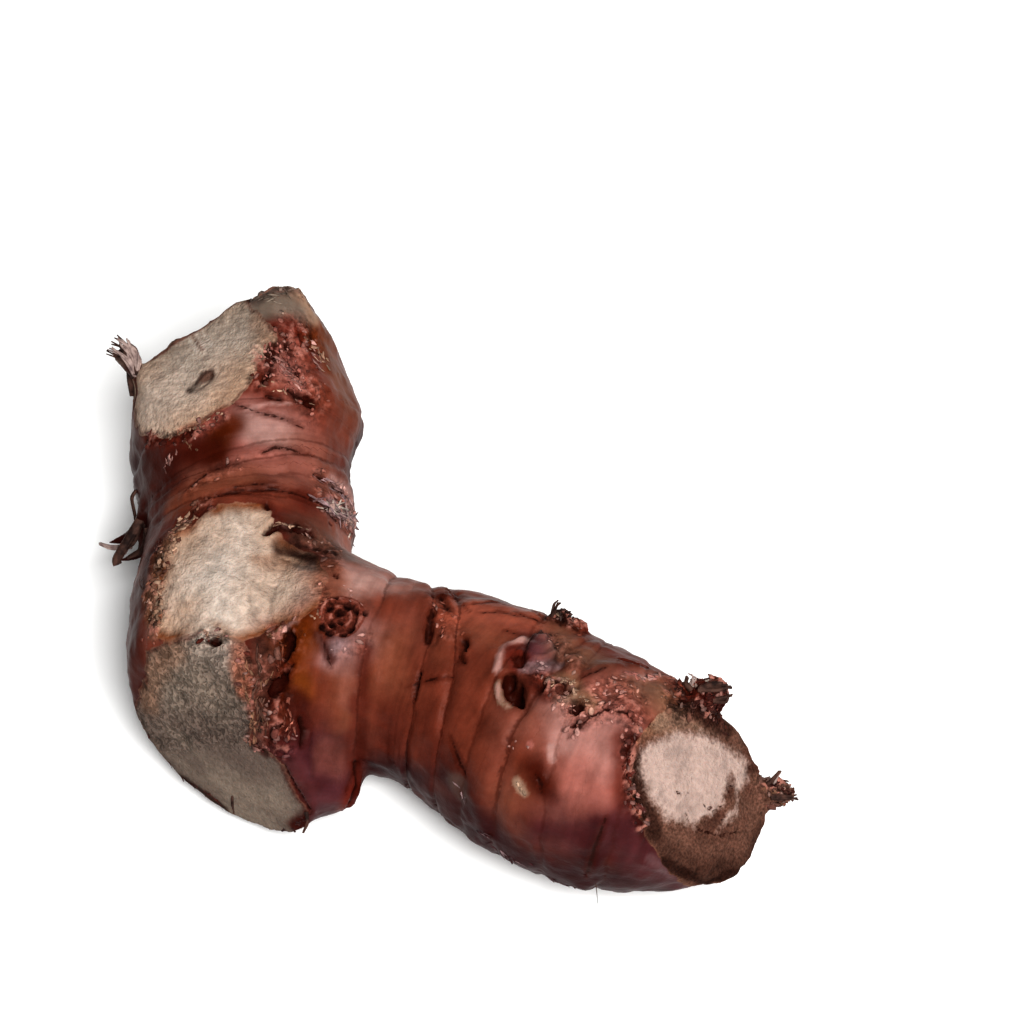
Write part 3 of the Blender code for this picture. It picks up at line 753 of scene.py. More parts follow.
# Where the skin faces sideways and down it is darkened to umber and purple: partly the purple-brown of what
# lay in the soil, and partly painted shade.
underside_shade_and_soil = smooth_step(0.42, -0.3, skin_normals[:, 2] + 0.15 * lumpy(8, 54))
lay(skin_coat, "umber", underside_shade_and_soil)
lay(skin_coat, "purple", 0.85 * underside_shade_and_soil * smooth_step(-0.5, 0.5, lumpy(12, 55) + 0.4))
print("colours:", len(PALETTE))

# %% Paint the tones of the skin
SKIN_STROKES = (
    # colour, pixels, radius, strength
    # the stem end and the neck
    ("red", ((262, 326), (300, 330), (306, 360), (290, 400)), 5.5, 0.9),
    ("rose", ((272, 356), (288, 366), (300, 392)), 3.6, 1.0),
    ("pink", ((278, 362), (290, 372), (300, 390)), 3.0, 0.9),
    ("pale", ((284, 366), (292, 378), (304, 396)), 1.2, 0.5),
    ("tan", ((318, 346), (330, 370), (338, 392)), 2.2, 0.6),
    ("orange", ((322, 330), (336, 370), (346, 410)), 4.4, 1.0),
    ("ochre", ((324, 336), (338, 375), (348, 404)), 4.4, 1.0),
    ("orange", ((316, 400), (340, 430)), 5.0, 0.8),
    ("beige", ((262, 300), (300, 292), (314, 306)), 2.8, 1.0),
    ("ash", ((250, 312), (280, 302), (300, 308)), 2.6, 0.9),
    ("grey", ((246, 304), (272, 292), (300, 286)), 1.4, 0.9),
    ("cream", ((302, 298), (310, 306), (314, 316)), 1.8, 0.9),
    ("brown", ((160, 448), (214, 454), (236, 440)), 4.0, 1.0),
    # Painted shade down the left flank, in umber and purple.
    ("umber", ((136, 450), (148, 500), (134, 560)), 5.4, 1.0),
    ("purple", ((134, 470), (136, 520)), 3.0, 0.8),
    ("umber", ((166, 478), (196, 470)), 3.4, 0.7),
    ("rose", ((206, 480), (250, 466), (306, 470), (338, 494)), 3.4, 0.9),
    ("tan", ((176, 506), (206, 486), (250, 478)), 2.4, 0.8),
    # Pink skin across the neck, with a painted highlight on it in chalk and pale.
    ("pink", ((240, 430), (262, 434), (292, 442)), 4.6, 1.0),
    ("chalk", ((252, 428), (268, 432), (284, 436)), 2.2, 0.45),
    ("pale", ((244, 422), (262, 428), (284, 432)), 3.0, 0.8),
    ("rose", ((300, 444), (322, 456)), 3.2, 0.7),
    ("rust", ((216, 450), (224, 436), (232, 424)), 2.7, 1.0),
    ("ochre", ((216, 450), (224, 436), (232, 424)), 2.0, 0.3),
    ("rust", ((196, 456), (214, 452)), 2.0, 0.8),
    ("orange", ((224, 500), (262, 496), (306, 506)), 1.7, 0.9),
    ("brown", ((306, 506), (330, 522), (350, 540)), 2.6, 0.9),
    ("pale", ((332, 482), (346, 496), (356, 514)), 1.5, 0.9),
    ("umber", ((118, 346), (128, 358), (134, 380)), 3.0, 1.0),
    ("ash", ((112, 350), (126, 346)), 2.0, 0.5),
    ("umber", ((142, 524), (130, 545), (116, 560)), 3.4, 1.0),
    ("umber", ((112, 544), (124, 546)), 2.4, 1.0),
    ("lilac", ((330, 506), (346, 518), (362, 532)), 1.8, 0.9),
    ("chalk", ((330, 506), (344, 516), (360, 532)), 0.8, 0.6),
    ("soot", ((320, 508), (336, 520), (350, 534)), 0.4, 0.7),
    ("soot", ((334, 498), (352, 512)), 0.4, 0.7),
    # round the crown
    ("umber", ((150, 560), (136, 600), (130, 660), (140, 720)), 3.4, 1.0),
    ("brown", ((136, 590), (130, 640), (138, 700)), 2.4, 0.6),
    ("rust", ((136, 590), (130, 640), (138, 700)), 2.4, 0.6),
    ("beige", ((180, 530), (160, 560), (152, 600), (154, 630)), 1.8, 0.8),
    ("rose", ((340, 545), (380, 575), (400, 590)), 5.0, 1.0),
    ("pale", ((346, 582), (364, 590), (380, 602)), 4.4, 1.0),
    ("blush", ((348, 582), (362, 586), (376, 596)), 3.6, 0.9),
    ("bark", ((298, 530), (328, 544), (346, 556)), 2.8, 0.9),
    ("soot", ((282, 548), (300, 556), (328, 562)), 1.6, 0.75),
    ("soot", ((298, 546), (316, 550), (334, 553)), 0.5, 0.9),
    ("tan", ((332, 572), (332, 600), (314, 622)), 2.6, 0.9),
    ("orange", ((372, 612), (380, 640)), 3.6, 0.8),
    ("rust", ((296, 612), (306, 624)), 2.2, 0.8),
    # between the crown and the nub
    ("brown", ((276, 640), (262, 690), (264, 740)), 4.2, 1.0),
    ("bark", ((266, 650), (256, 690), (260, 736)), 2.4, 0.6),
    ("rust", ((318, 660), (324, 690), (316, 712)), 1.8, 0.8),
    ("ochre", ((300, 634), (308, 660), (310, 690), (304, 714)), 3.4, 1.0),
    ("gold", ((306, 680), (308, 694), (304, 708)), 1.8, 0.5),
    ("orange", ((326, 670), (330, 710)), 3.0, 0.9),
    ("tan", ((350, 666), (350, 720), (344, 740)), 3.2, 1.0),
    ("rose", ((350, 676), (350, 700)), 1.8, 0.8),
    ("rust", ((296, 700), (300, 730), (290, 752)), 2.2, 0.9),
    ("lilac", ((340, 651), (354, 654), (368, 644), (374, 630)), 2.7, 0.95),
    ("rose", ((346, 664), (360, 660)), 2.4, 0.5),
    ("umber", ((318, 634), (324, 648), (332, 658)), 0.8, 0.7),
    ("plum", ((308, 756), (330, 770), (330, 800)), 5.6, 1.0),
    ("bud", ((312, 762), (328, 774), (330, 790)), 3.6, 0.55),
    ("rose", ((322, 756), (336, 762)), 2.4, 0.4),
    ("red", ((344, 812), (356, 786), (358, 764)), 1.8, 0.9),
    # the first bands of the side limb
    ("tan", ((388, 640), (390, 680)), 4.6, 0.9),
    ("brown", ((366, 650), (362, 700), (356, 756)), 1.6, 0.8),
    ("orange", ((388, 606), (430, 606), (470, 614)), 3.6, 1.0),
    ("brown", ((388, 720), (392, 750)), 4.0, 0.7),
    # Painted shade along the lower edge, partly purple skin.
    ("purple", ((376, 768), (420, 776)), 2.6, 0.9),
    ("redbrown", ((430, 660), (428, 720)), 3.6, 0.6),
    ("brown", ((430, 730), (424, 760)), 3.4, 0.4),
    ("tan", ((440, 640), (446, 654)), 2.2, 0.5),
    ("redbrown", ((480, 660), (478, 700), (484, 740)), 5.8, 1.0),
    ("redbrown", ((470, 700), (466, 750)), 3.4, 0.8),
    ("salmon", ((470, 612), (500, 618), (530, 618)), 4.6, 0.9),
    # Rust along the top edge, and in it a painted shadow.
    ("rust", ((432, 595), (480, 599), (530, 607)), 1.1, 0.6),
    ("rust", ((544, 612), (566, 624), (580, 636)), 1.2, 0.5),
    ("tan", ((476, 636), (498, 640)), 2.6, 0.6),
    ("rust", ((484, 726), (508, 742), (520, 730)), 1.6, 0.45),
    # Painted shade on the lower flank, partly purple skin.
    ("purple", ((446, 778), (466, 806), (500, 840)), 4.0, 0.9),
    ("grey", ((456, 780), (462, 794)), 1.6, 0.5),
    # the bud, the wounds beside it and the bright band
    ("bud", ((536, 652), (546, 656), (544, 640)), 3.0, 1.0),
    ("beige", ((562, 634), (566, 656), (590, 656)), 3.4, 0.6),
    # The dark torn cork round the stub on top, with painted shade round it.
    ("soot", ((552, 610), (566, 616), (572, 604)), 2.2, 1.0),
    ("brown", ((596, 640), (620, 654)), 3.6, 0.9),
    ("red", ((624, 656), (650, 664)), 2.2, 1.0),
    ("pink", ((630, 676), (648, 680)), 1.6, 1.0),
    ("rose", ((560, 690), (590, 696), (626, 688)), 3.2, 0.9),
    ("beige", ((652, 690), (664, 704), (682, 716)), 3.6, 0.9),
    ("rose", ((536, 730), (560, 760), (556, 800)), 6.0, 0.9),
    ("pink", ((566, 790), (590, 760), (606, 740), (606, 780)), 7.6, 0.85),
    # A painted highlight on the bright pink band.
    ("pale", ((588, 738), (604, 732), (608, 750)), 3.4, 0.5),
    ("redbrown", ((520, 760), (530, 780), (524, 806)), 3.6, 1.0),
    ("rust", ((536, 768), (544, 790)), 2.2, 0.9),
    ("tan", ((510, 800), (530, 830)), 3.6, 0.6),
    ("cream", ((517, 783), (524, 793)), 0.9, 1.0),
    ("pale", ((529, 638), (517, 642), (504, 647), (500, 658), (497, 671)), 0.6, 0.9),
    ("cream", ((498, 686), (502, 702), (509, 709)), 0.5, 0.9),
    ("red", ((512, 650), (518, 662)), 1.6, 1.0),
    ("lilac", ((524, 668), (544, 668), (560, 664)), 0.8, 0.6),
    ("beige", ((552, 682), (560, 679), (572, 683), (576, 694), (590, 702)), 1.5, 0.9),
    ("cream", ((560, 698), (568, 696)), 1.4, 0.6),
    ("pale", ((546, 700), (558, 714), (564, 740)), 2.2, 0.5),
    ("brown", ((536, 684), (546, 696)), 2.0, 0.9),
    ("pink", ((530, 744), (531, 745)), 0.6, 0.9),
    ("pale", ((550, 748), (552, 760)), 0.7, 0.8),
    ("brown", ((622, 742), (620, 790), (628, 820)), 1.8, 0.8),
    # Plum and purple along the lower edge: partly the purple skin, partly painted shade.
    ("plum", ((540, 830), (600, 838), (640, 830)), 4.0, 1.0),
    ("purple", ((480, 836), (530, 866), (600, 876), (650, 880)), 4.6, 1.0),
    ("purple", ((592, 862), (602, 828)), 2.0, 0.9),
    ("plum", ((630, 862), (660, 874), (690, 890)), 2.4, 0.8),
    ("plum", ((610, 832), (640, 848), (662, 862)), 3.6, 1.0),
    # A faint painted sheen near the lower rim.
    ("lilac", ((650, 858), (668, 872), (690, 885)), 0.9, 0.2),
    ("umber", ((690, 700), (708, 704), (726, 716)), 3.2, 0.9),
    ("redbrown", ((640, 764), (645, 800)), 1.2, 0.6),
    ("umber", ((634, 738), (629, 770), (632, 800), (644, 830)), 1.1, 0.8),
    ("brown", ((684, 684), (720, 690)), 2.6, 0.8),
    ("bark", ((760, 784), (780, 790), (794, 796)), 3.8, 0.9),
)
paint(skin_coat, SKIN_STROKES)
lay(skin_coat, "rust", 0.5 * smooth_step(3.6, 1.2, crack_near))
lay(skin_coat, "pale", 0.75 * smooth_step(0.15, 0.4, lip) * smooth_step(-0.9, 0.2, pit_rough))
skin_coat /= SKIN_GAIN
print("strokes:", len(SKIN_STROKES))

# %% [markdown]
# The bare faces have a coat of their own. The crown is chalky in the middle and ochre where the skin has
# torn away. The stem's cut is fresh and beige, the front one has greyed with age, and the one at the right
# end still shows the white, starchy core inside a brown, granular rim.

# %% Paint the scars and the cuts
CUT_STROKES = (
    # colour, pixels, radius, strength
    ("chalk", ((215, 575), (232, 585), (228, 605)), 6.6, 1.0),
    ("chalk", ((240, 530), (240, 550)), 4.4, 0.7),
    ("cream", ((272, 600), (290, 590)), 4.6, 1.0),
    ("tan", ((276, 632), (298, 618), (322, 596), (324, 574)), 3.4, 0.9),
    ("brown", ((296, 534), (316, 542), (332, 560)), 2.8, 0.9),
    ("bark", ((292, 536), (316, 546), (326, 566)), 3.0, 0.9),
    ("soot", ((280, 548), (298, 556), (324, 564)), 1.6, 0.95),
    ("soot", ((282, 560), (300, 568), (320, 571)), 0.45, 0.8),
    ("beige", ((256, 560), (282, 566)), 1.6, 0.6),
    ("chalk", ((258, 604), (286, 592)), 4.0, 0.5),
    ("rust", ((262, 505), (272, 508)), 1.2, 1.0),
    ("ash", ((170, 690), (190, 670), (210, 690)), 4.6, 0.6),
    ("ash", ((180, 750), (230, 790), (270, 800)), 3.6, 0.6),
    ("ash", ((226, 810), (270, 822)), 2.2, 0.5),
    ("grey", ((160, 736), (200, 766)), 1.8, 0.8),
    ("umber", ((246, 840), (290, 836), (312, 816)), 1.7, 1.0),
    ("soot", ((140, 726), (170, 768), (210, 796), (240, 822)), 1.0, 0.9),
    ("tan", ((240, 650), (246, 690)), 1.6, 0.7),
    ("beige", ((174, 648), (152, 672), (148, 700)), 2.4, 0.5),
    ("cream", ((146, 400), (176, 414), (220, 392)), 6.0, 1.0),
    ("chalk", ((150, 404), (172, 404), (190, 396)), 4.0, 0.4),
    ("ash", ((180, 360), (220, 330), (256, 322)), 5.0, 0.8),
    ("tan", ((180, 434), (206, 424), (224, 410)), 1.1, 0.7),
    ("chalk", ((146, 400), (180, 380), (226, 340)), 6.0, 0.5),
    ("grey", ((190, 390), (200, 383), (210, 376)), 0.8, 0.85),
    ("bark", ((204, 380), (210, 375)), 0.9, 0.8),
    ("soot", ((196, 384), (203, 374), (212, 370), (214, 377), (207, 385)), 0.38, 0.75),
    ("soot", ((188, 391), (195, 392), (202, 388)), 0.38, 0.5),
    ("chalk", ((186, 334), (198, 352)), 0.35, 0.8),
    ("chalk", ((194, 331), (206, 349)), 0.3, 0.7),
    ("chalk", ((202, 332), (212, 346)), 0.3, 0.7),
    ("bark", ((190, 332), (202, 350)), 0.3, 0.6),
    ("umber", ((132, 372), (131, 400), (133, 434)), 0.8, 0.9),
    ("brown", ((150, 352), (186, 322), (232, 298)), 0.6, 0.7),
    ("ash", ((244, 308), (270, 298), (294, 290)), 2.8, 0.7),
    ("bark", ((250, 300), (276, 290), (296, 287)), 1.2, 0.8),
    ("cream", ((298, 298), (308, 302), (314, 310)), 2.2, 0.9),
    ("beige", ((262, 320), (270, 340)), 2.2, 0.5),
    ("beige", ((650, 724), (680, 708), (710, 712)), 2.6, 0.8),
    ("ash", ((660, 722), (690, 716), (712, 722)), 2.0, 0.3),
    ("bark", ((672, 716), (696, 712), (716, 722)), 1.6, 0.4),
    ("umber", ((704, 700), (736, 720), (756, 746)), 2.6, 1.0),
    ("soot", ((672, 702), (700, 712), (728, 730)), 1.4, 0.7),
    ("bark", ((660, 830), (690, 850), (736, 850), (760, 810)), 4.0, 0.8),
    ("soot", ((664, 850), (696, 874), (744, 864), (766, 816)), 1.8, 0.5),
    ("soot", ((636, 760), (640, 800), (656, 836)), 1.3, 0.8),
    ("soot", ((664, 862), (704, 884), (750, 866), (772, 816)), 0.9, 0.9),
)
cut_coat = np.zeros((len(skin_places), 3))
lay(cut_coat, "tan", everywhere)
lay(cut_coat, "beige", smooth_step(-0.4, 0.5, lumpy(3, 81)))
lay(cut_coat, "cream", crown)
lay(cut_coat, "grey", front)
lay(cut_coat, "cream", stem)
lay(cut_coat, "ash", 0.4 * stem)
lay(cut_coat, "bark", end + 0.7 * broken)
lay(cut_coat, "umber", 0.4 * end * smooth_step(-0.3, 0.5, lumpy(3, 82)))
paint(cut_coat, CUT_STROKES)
patchy = smooth_step(-0.3, 0.4, lumpy(4, 83))
for depth, mask, name, wide in (
    (crown_depth, crown * patchy, "beige", 2.6),
    (crown_depth, crown * patchy, "ochre", 1.2),
    (stem_depth, stem, "umber", 0.7),
    (front_depth, front, "umber", 0.8),
):
    lay(cut_coat, name, 0.8 * mask * smooth_step(wide, 0.3 * wide, depth + 1.2 * ragged))
cut_coat /= CUT_GAIN
print("strokes:", len(CUT_STROKES))

# %% [markdown]
# ## Pressing the relief into the skin
# The heights are added up, in millimetres: grooves with their lips, wrinkles that run round the limbs
# between the rings, corky crust, pits, the netted front cut, the papery crown. Points then move along their
# normals, which is what sculpting brushes do. Last, the ridge behind the stem's cut is pared back to the
# straight edge that a knife left there. Nothing goes below the table, so the three flats that the root
# rests on stay where they are.

# %% Move the points
GROOVE = 0.42
# The ridge behind the stem's cut was pared along this line, to the right of this column.
SHAVE_LINE = ((306, 288), (352, 372))
SHAVE_FROM = 270
wrinkle_places = grown * np.array((1.0, 0.16, 0.16))
fibre_places = grown * np.array((0.14, 1.0, 1.0))
live = 1 - bare
netted = front * smooth_step(756, 738, skin_pixels[:, 1] + 8 * lumpy(5, 70))
rough_parts = crust * (0.6 * (ridges(2.6, 65) - 0.55) + 0.35 * (ridges(1.3, 66) - 0.5))
rough_parts += crown * (0.24 * (ridges(2.8, 67) - 0.6) + 0.14 * lumpy(1.1, 68))
rough_parts += netted * 0.42 * (ridges(1.9, 71) - 0.55)
rough_parts += end * (1 - 0.5 * white) * 0.2 * lumpy(1.1, 73) + end * 0.15 * lumpy(3, 74)
rough_parts += stem * (0.12 * lumpy(2.6, 75) + 0.08 * lumpy(1.0, 76))
rough_parts += broken * (0.5 * (ridges(2.8, 77) - 0.55) + 0.2 * lumpy(1.1, 78))
torn_rim = np.exp(-((crown_depth / 0.8) ** 2)) * smooth_step(-0.3, 0.4, lumpy(1.6, 69)) * (facing > 0)
height = rough_parts + 0.35 * torn_rim + crack_relief + pit_relief + lip + eye_relief + bud_relief
height += front * 0.15 * lumpy(6, 72)
height -= GROOVE * ring_weight * np.exp(-((ring_past / 0.38) ** 2))
height += 0.22 * ring_weight * np.exp(-(((ring_past + 0.95) / 0.6) ** 2))
height += live * (0.06 * lumps(wrinkle_places, 1.3, 61) + 0.04 * lumps(fibre_places, 1.0, 62))
height += live * (0.1 * (1 - 0.5 * underside_shade_and_soil) * lumpy(3.4, 63) + 0.03 * lumpy(1.1, 64))
skin_places = skin_places + skin_normals * height[:, None]
shave_a = seen_at(*SHAVE_LINE[0])
shave_edge = in_plane(*SHAVE_LINE[1], shave_a) - shave_a
shave_out = np.cross(shave_edge, to_lens)
shave_out *= np.sign(shave_out[0]) / np.linalg.norm(shave_out)
past_shave = (skin_places - shave_a) @ shave_out + 0.25 * lumps(fibre_places, 1.3, 79)
shaved = (skin_pixels[:, 1] < SHAVE_LINE[1][1]) & (skin_pixels[:, 0] > SHAVE_FROM)
skin_places -= np.where(shaved, np.maximum(past_shave, 0), 0)[:, None] * shave_out
skin_places[:, 2] = np.maximum(skin_places[:, 2], 0)
skin.data.vertices.foreach_set("co", (skin_places * MM).ravel())
skin.data.update()
print("relief from", height.min().round(2), "to", height.max().round(2), "mm")

# %% [markdown]
# ## Handing the paint and the masks to the material
# They are stored on the mesh as attributes, one value for each point, which the material can read by name.

# %% Store the attributes
crests = rough_parts + eye * (eye_relief + EYE_SUNK) + 0.7 * bud * bud_relief - 0.5 * bud
skin_marks = {
    "underside_shade_and_soil": underside_shade_and_soil,
    "ring_past": ring_past,
    "ring_weight": ring_weight,
    "crack_near": crack_near,
    "crust": crust,
    "crown": crown,
    "front": front,
    "netted": netted,
    "stem": stem,
    "end": end,
    "white": white,
    "broken": broken,
    "bare": bare,
    "eye": eye,
    "eye_hole": eye_hole,
    "pit": pit,
    "relief": np.clip(crests, -0.6, 0.6),
}


def store(obj, name, kind, field, values):
    made = obj.data.attributes.new(name, kind, "POINT")
    made.data.foreach_set(field, np.asarray(values, np.float32).ravel())


for name, values in skin_marks.items():
    store(skin, name, "FLOAT", "value", values)
store(skin, "grown", "FLOAT_VECTOR", "vector", grown)
store(skin, "skin_paint", "FLOAT_COLOR", "color", np.column_stack((skin_coat, everywhere)))
store(skin, "cut_paint", "FLOAT_COLOR", "color", np.column_stack((cut_coat, everywhere)))
select_only(skin)
bpy.ops.object.shade_smooth()
print("attributes:", len(skin_marks) + 3)

# %% [markdown]
# ## Galangal skin
# The skin is a thin, tight, slightly waxy cork over wet flesh. That gives the eye a soft sheen rather than
# a shine, and a little light that scatters under it. Plant wax has an IOR of about 1.44. It was matched
# down to 1.3, and the sheen tinted, because dry cork breaks the wax up and gives back warmer, weaker light.
# What faces sideways and down is duller still. One function adds any node.

# %% Start the material
def add(tree, kind, settings, inputs, output=0):
    """Adds a node with its settings. An input is a value or another node's output. Returns an output."""
    made = tree.nodes.new("ShaderNode" + kind)
    for name, value in settings.items():
        setattr(made, name, value)
    for name, value in inputs.items():
        if isinstance(value, bpy.types.NodeSocket):
            tree.links.new(value, made.inputs[name])
        else:
            made.inputs[name].default_value = value
    return made.outputs[output]


def new_material(name):
    made = bpy.data.materials.new(name)
    made.use_nodes = True
    return made, made.node_tree, made.node_tree.nodes["Principled BSDF"]


cork, tree, shader = new_material("galangal_cork_skin")
places = add(tree, "TexCoord", {}, {}, "Object")
along_limb = add(tree, "Attribute", {"attribute_name": "grown"}, {}, "Vector")
# A scale is one over the size of a lump: in metres, or in millimetres for what follows the limbs.
fine = add(tree, "TexNoise", {}, {"Vector": places, "Scale": 1 / (0.9 * MM), "Detail": 3.0})
grain = add(tree, "TexNoise", {}, {"Vector": places, "Scale": 1 / (0.45 * MM), "Detail": 3.0})
blotch = {"Vector": places, "Scale": 1 / (4 * MM), "Detail": 5.0, "Roughness": 0.65}
blotch = add(tree, "TexNoise", {}, blotch)
paper = add(tree, "TexNoise", {}, {"Vector": places, "Scale": 1 / (2 * MM), "Detail": 5.0, "Distortion": 1.6})
round_limb = add(tree, "Mapping", {}, {"Vector": along_limb, "Scale": (1.0, 0.09, 0.09)})
wrinkle = add(tree, "TexNoise", {}, {"Vector": round_limb, "Scale": 0.9, "Detail": 4.0})
across_saw = {"Vector": places, "Rotation": (0.0, 0.0, math.radians(-35)), "Scale": (0.1, 1.0, 1.0)}
across_saw = add(tree, "Mapping", {}, across_saw)
sawn = add(tree, "TexNoise", {}, {"Vector": across_saw, "Scale": 1 / (0.8 * MM), "Detail": 2.0})
down_limb = add(tree, "Mapping", {}, {"Vector": along_limb, "Scale": (0.08, 1.0, 1.0)})
fibre = add(tree, "TexNoise", {}, {"Vector": down_limb, "Scale": 1.4, "Detail": 3.0})
mark = {name: add(tree, "Attribute", {"attribute_name": name}, {}, "Fac") for name in skin_marks}
print("masks in the material:", len(mark))

# %% [markdown]
# The two coats meet along a ragged edge: fine noise is added to the mask before it is sharpened. Then each
# kind of surface gets its own pattern, as a factor between two values that the paint is multiplied by.

# %% Blend the coats and texture them
def sharpen(mask, noise, raggedness, low, high, strength=1.0):
    """A mask with noise added to its edge, then sharpened between two values."""
    shaken = add(tree, "Math", {"operation": "MULTIPLY_ADD"}, {0: noise, 1: raggedness, 2: -raggedness / 2})
    shaken = add(tree, "Math", {"operation": "ADD"}, {0: shaken, 1: mask})
    cover = {"Value": shaken, "From Min": low, "From Max": high, "To Max": strength}
    return add(tree, "MapRange", {"interpolation_type": "SMOOTHSTEP"}, cover)


def over(colour, hex_colour, cover):
    """A colour laid over another one where the cover is."""
    hex_colour = linear(hex_colour, CUT_GAIN)
    return add(tree, "Mix", {"data_type": "RGBA"}, {0: cover, 6: colour, 7: hex_colour}, 2)


cut_edge = sharpen(mark["bare"], fine, 0.5, 0.35, 0.65)
skin_paint = add(tree, "Attribute", {"attribute_name": "skin_paint"}, {}, "Color")
cut_paint = add(tree, "Attribute", {"attribute_name": "cut_paint"}, {}, "Color")
colour = add(tree, "Mix", {"data_type": "RGBA"}, {0: cut_edge, 6: skin_paint, 7: cut_paint}, 2)
white_core = sharpen(mark["white"], fine, 0.65, 0.2, 0.85)
colour = over(colour, "#b9a298", white_core)
colour = over(colour, "#6b382c", sharpen(mark["eye"], fine, 0.4, 0.4, 0.7, 0.9))
rough = add(tree, "Math", {"operation": "MULTIPLY_ADD"}, {0: blotch, 1: 0.2, 2: 0.32})
live_part = add(tree, "Math", {"operation": "SUBTRACT"}, {0: 1.0, 1: mark["bare"]})
dark_end = add(tree, "Math", {"operation": "MULTIPLY_ADD"}, {0: white_core, 1: -0.95, 2: mark["end"]})
TEXTURES = (
    # mask, noise, factor where it's low, factor where it's high, roughness
    (live_part, blotch, 0.82, 1.18, None),
    (live_part, wrinkle, 0.88, 1.12, None),
    (mark["crust"], fine, 0.5, 1.5, 0.7),
    (mark["crown"], paper, 0.74, 1.16, 0.8),
    (mark["front"], fine, 0.84, 1.14, 0.75),
    (mark["stem"], fine, 0.84, 1.14, 0.85),
    (mark["stem"], sawn, 0.82, 1.16, None),
    (dark_end, grain, 0.58, 1.36, 0.85),
    (white_core, fine, 0.86, 1.08, 0.85),
    (mark["broken"], fine, 0.6, 1.4, 0.9),
    (mark["eye"], grain, 0.6, 1.5, 0.7),
)
for mask, noise, low, high, layer_rough in TEXTURES:
    factor = {"Value": noise, "From Min": 0.3, "From Max": 0.7, "To Min": low, "To Max": high}
    factor = add(tree, "MapRange", {}, factor)
    factor = add(tree, "Mix", {"data_type": "FLOAT"}, {0: mask, 2: 1.0, 3: factor})
    colour = add(tree, "VectorMath", {"operation": "SCALE"}, {0: colour, "Scale": factor})
    if layer_rough:
        rough = add(tree, "Mix", {"data_type": "FLOAT"}, {0: mask, 2: rough, 3: layer_rough})
print("textures:", len(TEXTURES))

# %% [markdown]
# What stands out of a rough part has dried pale, and its hollows hold soil and shadow. Lines come last: the
# dark rings, the cracks and the holes of the eye. A line is where its distance is small, and its width is
# shaken by noise, so that it breaks off and starts again.

# %% Draw the crests, the hollows and the lines
net = add(tree, "TexNoise", {}, {"Vector": places, "Scale": 1 / (0.7 * MM), "Detail": 0.8, "Distortion": 0.7})
net_line = {"Value": net, "From Min": 0.44, "From Max": 0.56}
net_line = add(tree, "MapRange", {"interpolation_type": "SMOOTHSTEP"}, net_line)
net_here = add(tree, "Math", {"operation": "MULTIPLY_ADD"}, {0: mark["crust"], 1: 0.5, 2: mark["netted"]})
net_line = add(tree, "Math", {"operation": "MULTIPLY"}, {0: net_line, 1: net_here})
net_light = {"Value": net, "From Min": 0.4, "From Max": 0.6, "To Min": 0.78, "To Max": 1.27}
net_light = add(tree, "MapRange", {}, net_light)
net_light = add(tree, "Mix", {"data_type": "FLOAT"}, {0: net_here, 2: 1.0, 3: net_light})
colour = add(tree, "VectorMath", {"operation": "SCALE"}, {0: colour, "Scale": net_light})
crest = sharpen(mark["relief"], fine, 0.3, 0.02, 0.3, 0.75)
crest_here = add(tree, "Math", {"operation": "MULTIPLY_ADD"}, {0: mark["eye"], 1: 0.7, 2: mark["crust"]})
crest_here = add(tree, "Math", {"operation": "MULTIPLY"}, {0: crest, 1: crest_here})
colour = over(colour, "#bb8578", crest_here)
deep = {"Value": mark["relief"], "From Min": 0.0, "From Max": -0.4, "To Min": 1.0, "To Max": 0.45}
deep = add(tree, "MapRange", {}, deep)
colour = add(tree, "VectorMath", {"operation": "SCALE"}, {0: colour, "Scale": deep})

ring_wide = add(tree, "Math", {"operation": "ABSOLUTE"}, {0: mark["ring_past"]})
ring_wide = add(tree, "Math", {"operation": "MULTIPLY_ADD"}, {0: fine, 1: 0.7, 2: ring_wide})
ring_line = {"Value": ring_wide, "From Min": 0.72, "From Max": 0.38}
ring_line = add(tree, "MapRange", {"interpolation_type": "SMOOTHSTEP"}, ring_line)
ring_inputs = {0: ring_line, 1: mark["ring_weight"]}
ring_line = add(tree, "Math", {"operation": "MULTIPLY", "use_clamp": True}, ring_inputs)
crack_wide = add(tree, "Math", {"operation": "MULTIPLY_ADD"}, {0: fine, 1: 1.2, 2: mark["crack_near"]})
crack_line = {"Value": crack_wide, "From Min": 1.8, "From Max": 1.0, "To Max": 0.85}
crack_line = add(tree, "MapRange", {"interpolation_type": "SMOOTHSTEP"}, crack_line)
colour = over(colour, "#3f160c", ring_line)
colour = over(colour, "#2c100a", crack_line)
colour = over(colour, "#3d150c", sharpen(mark["pit"], fine, 1.0, 0.3, 0.9, 0.85))
colour = over(colour, "#1e0b08", mark["eye_hole"])

# %% [markdown]
# The finest relief, under half a millimetre, is bump: wrinkles and fibres in the skin, and grain on what
# has dried.

# %% Add the bump and finish the skin
SKIN_IOR = 1.3
SHEEN_TINT = (0.65, 0.45, 0.42, 1.0)
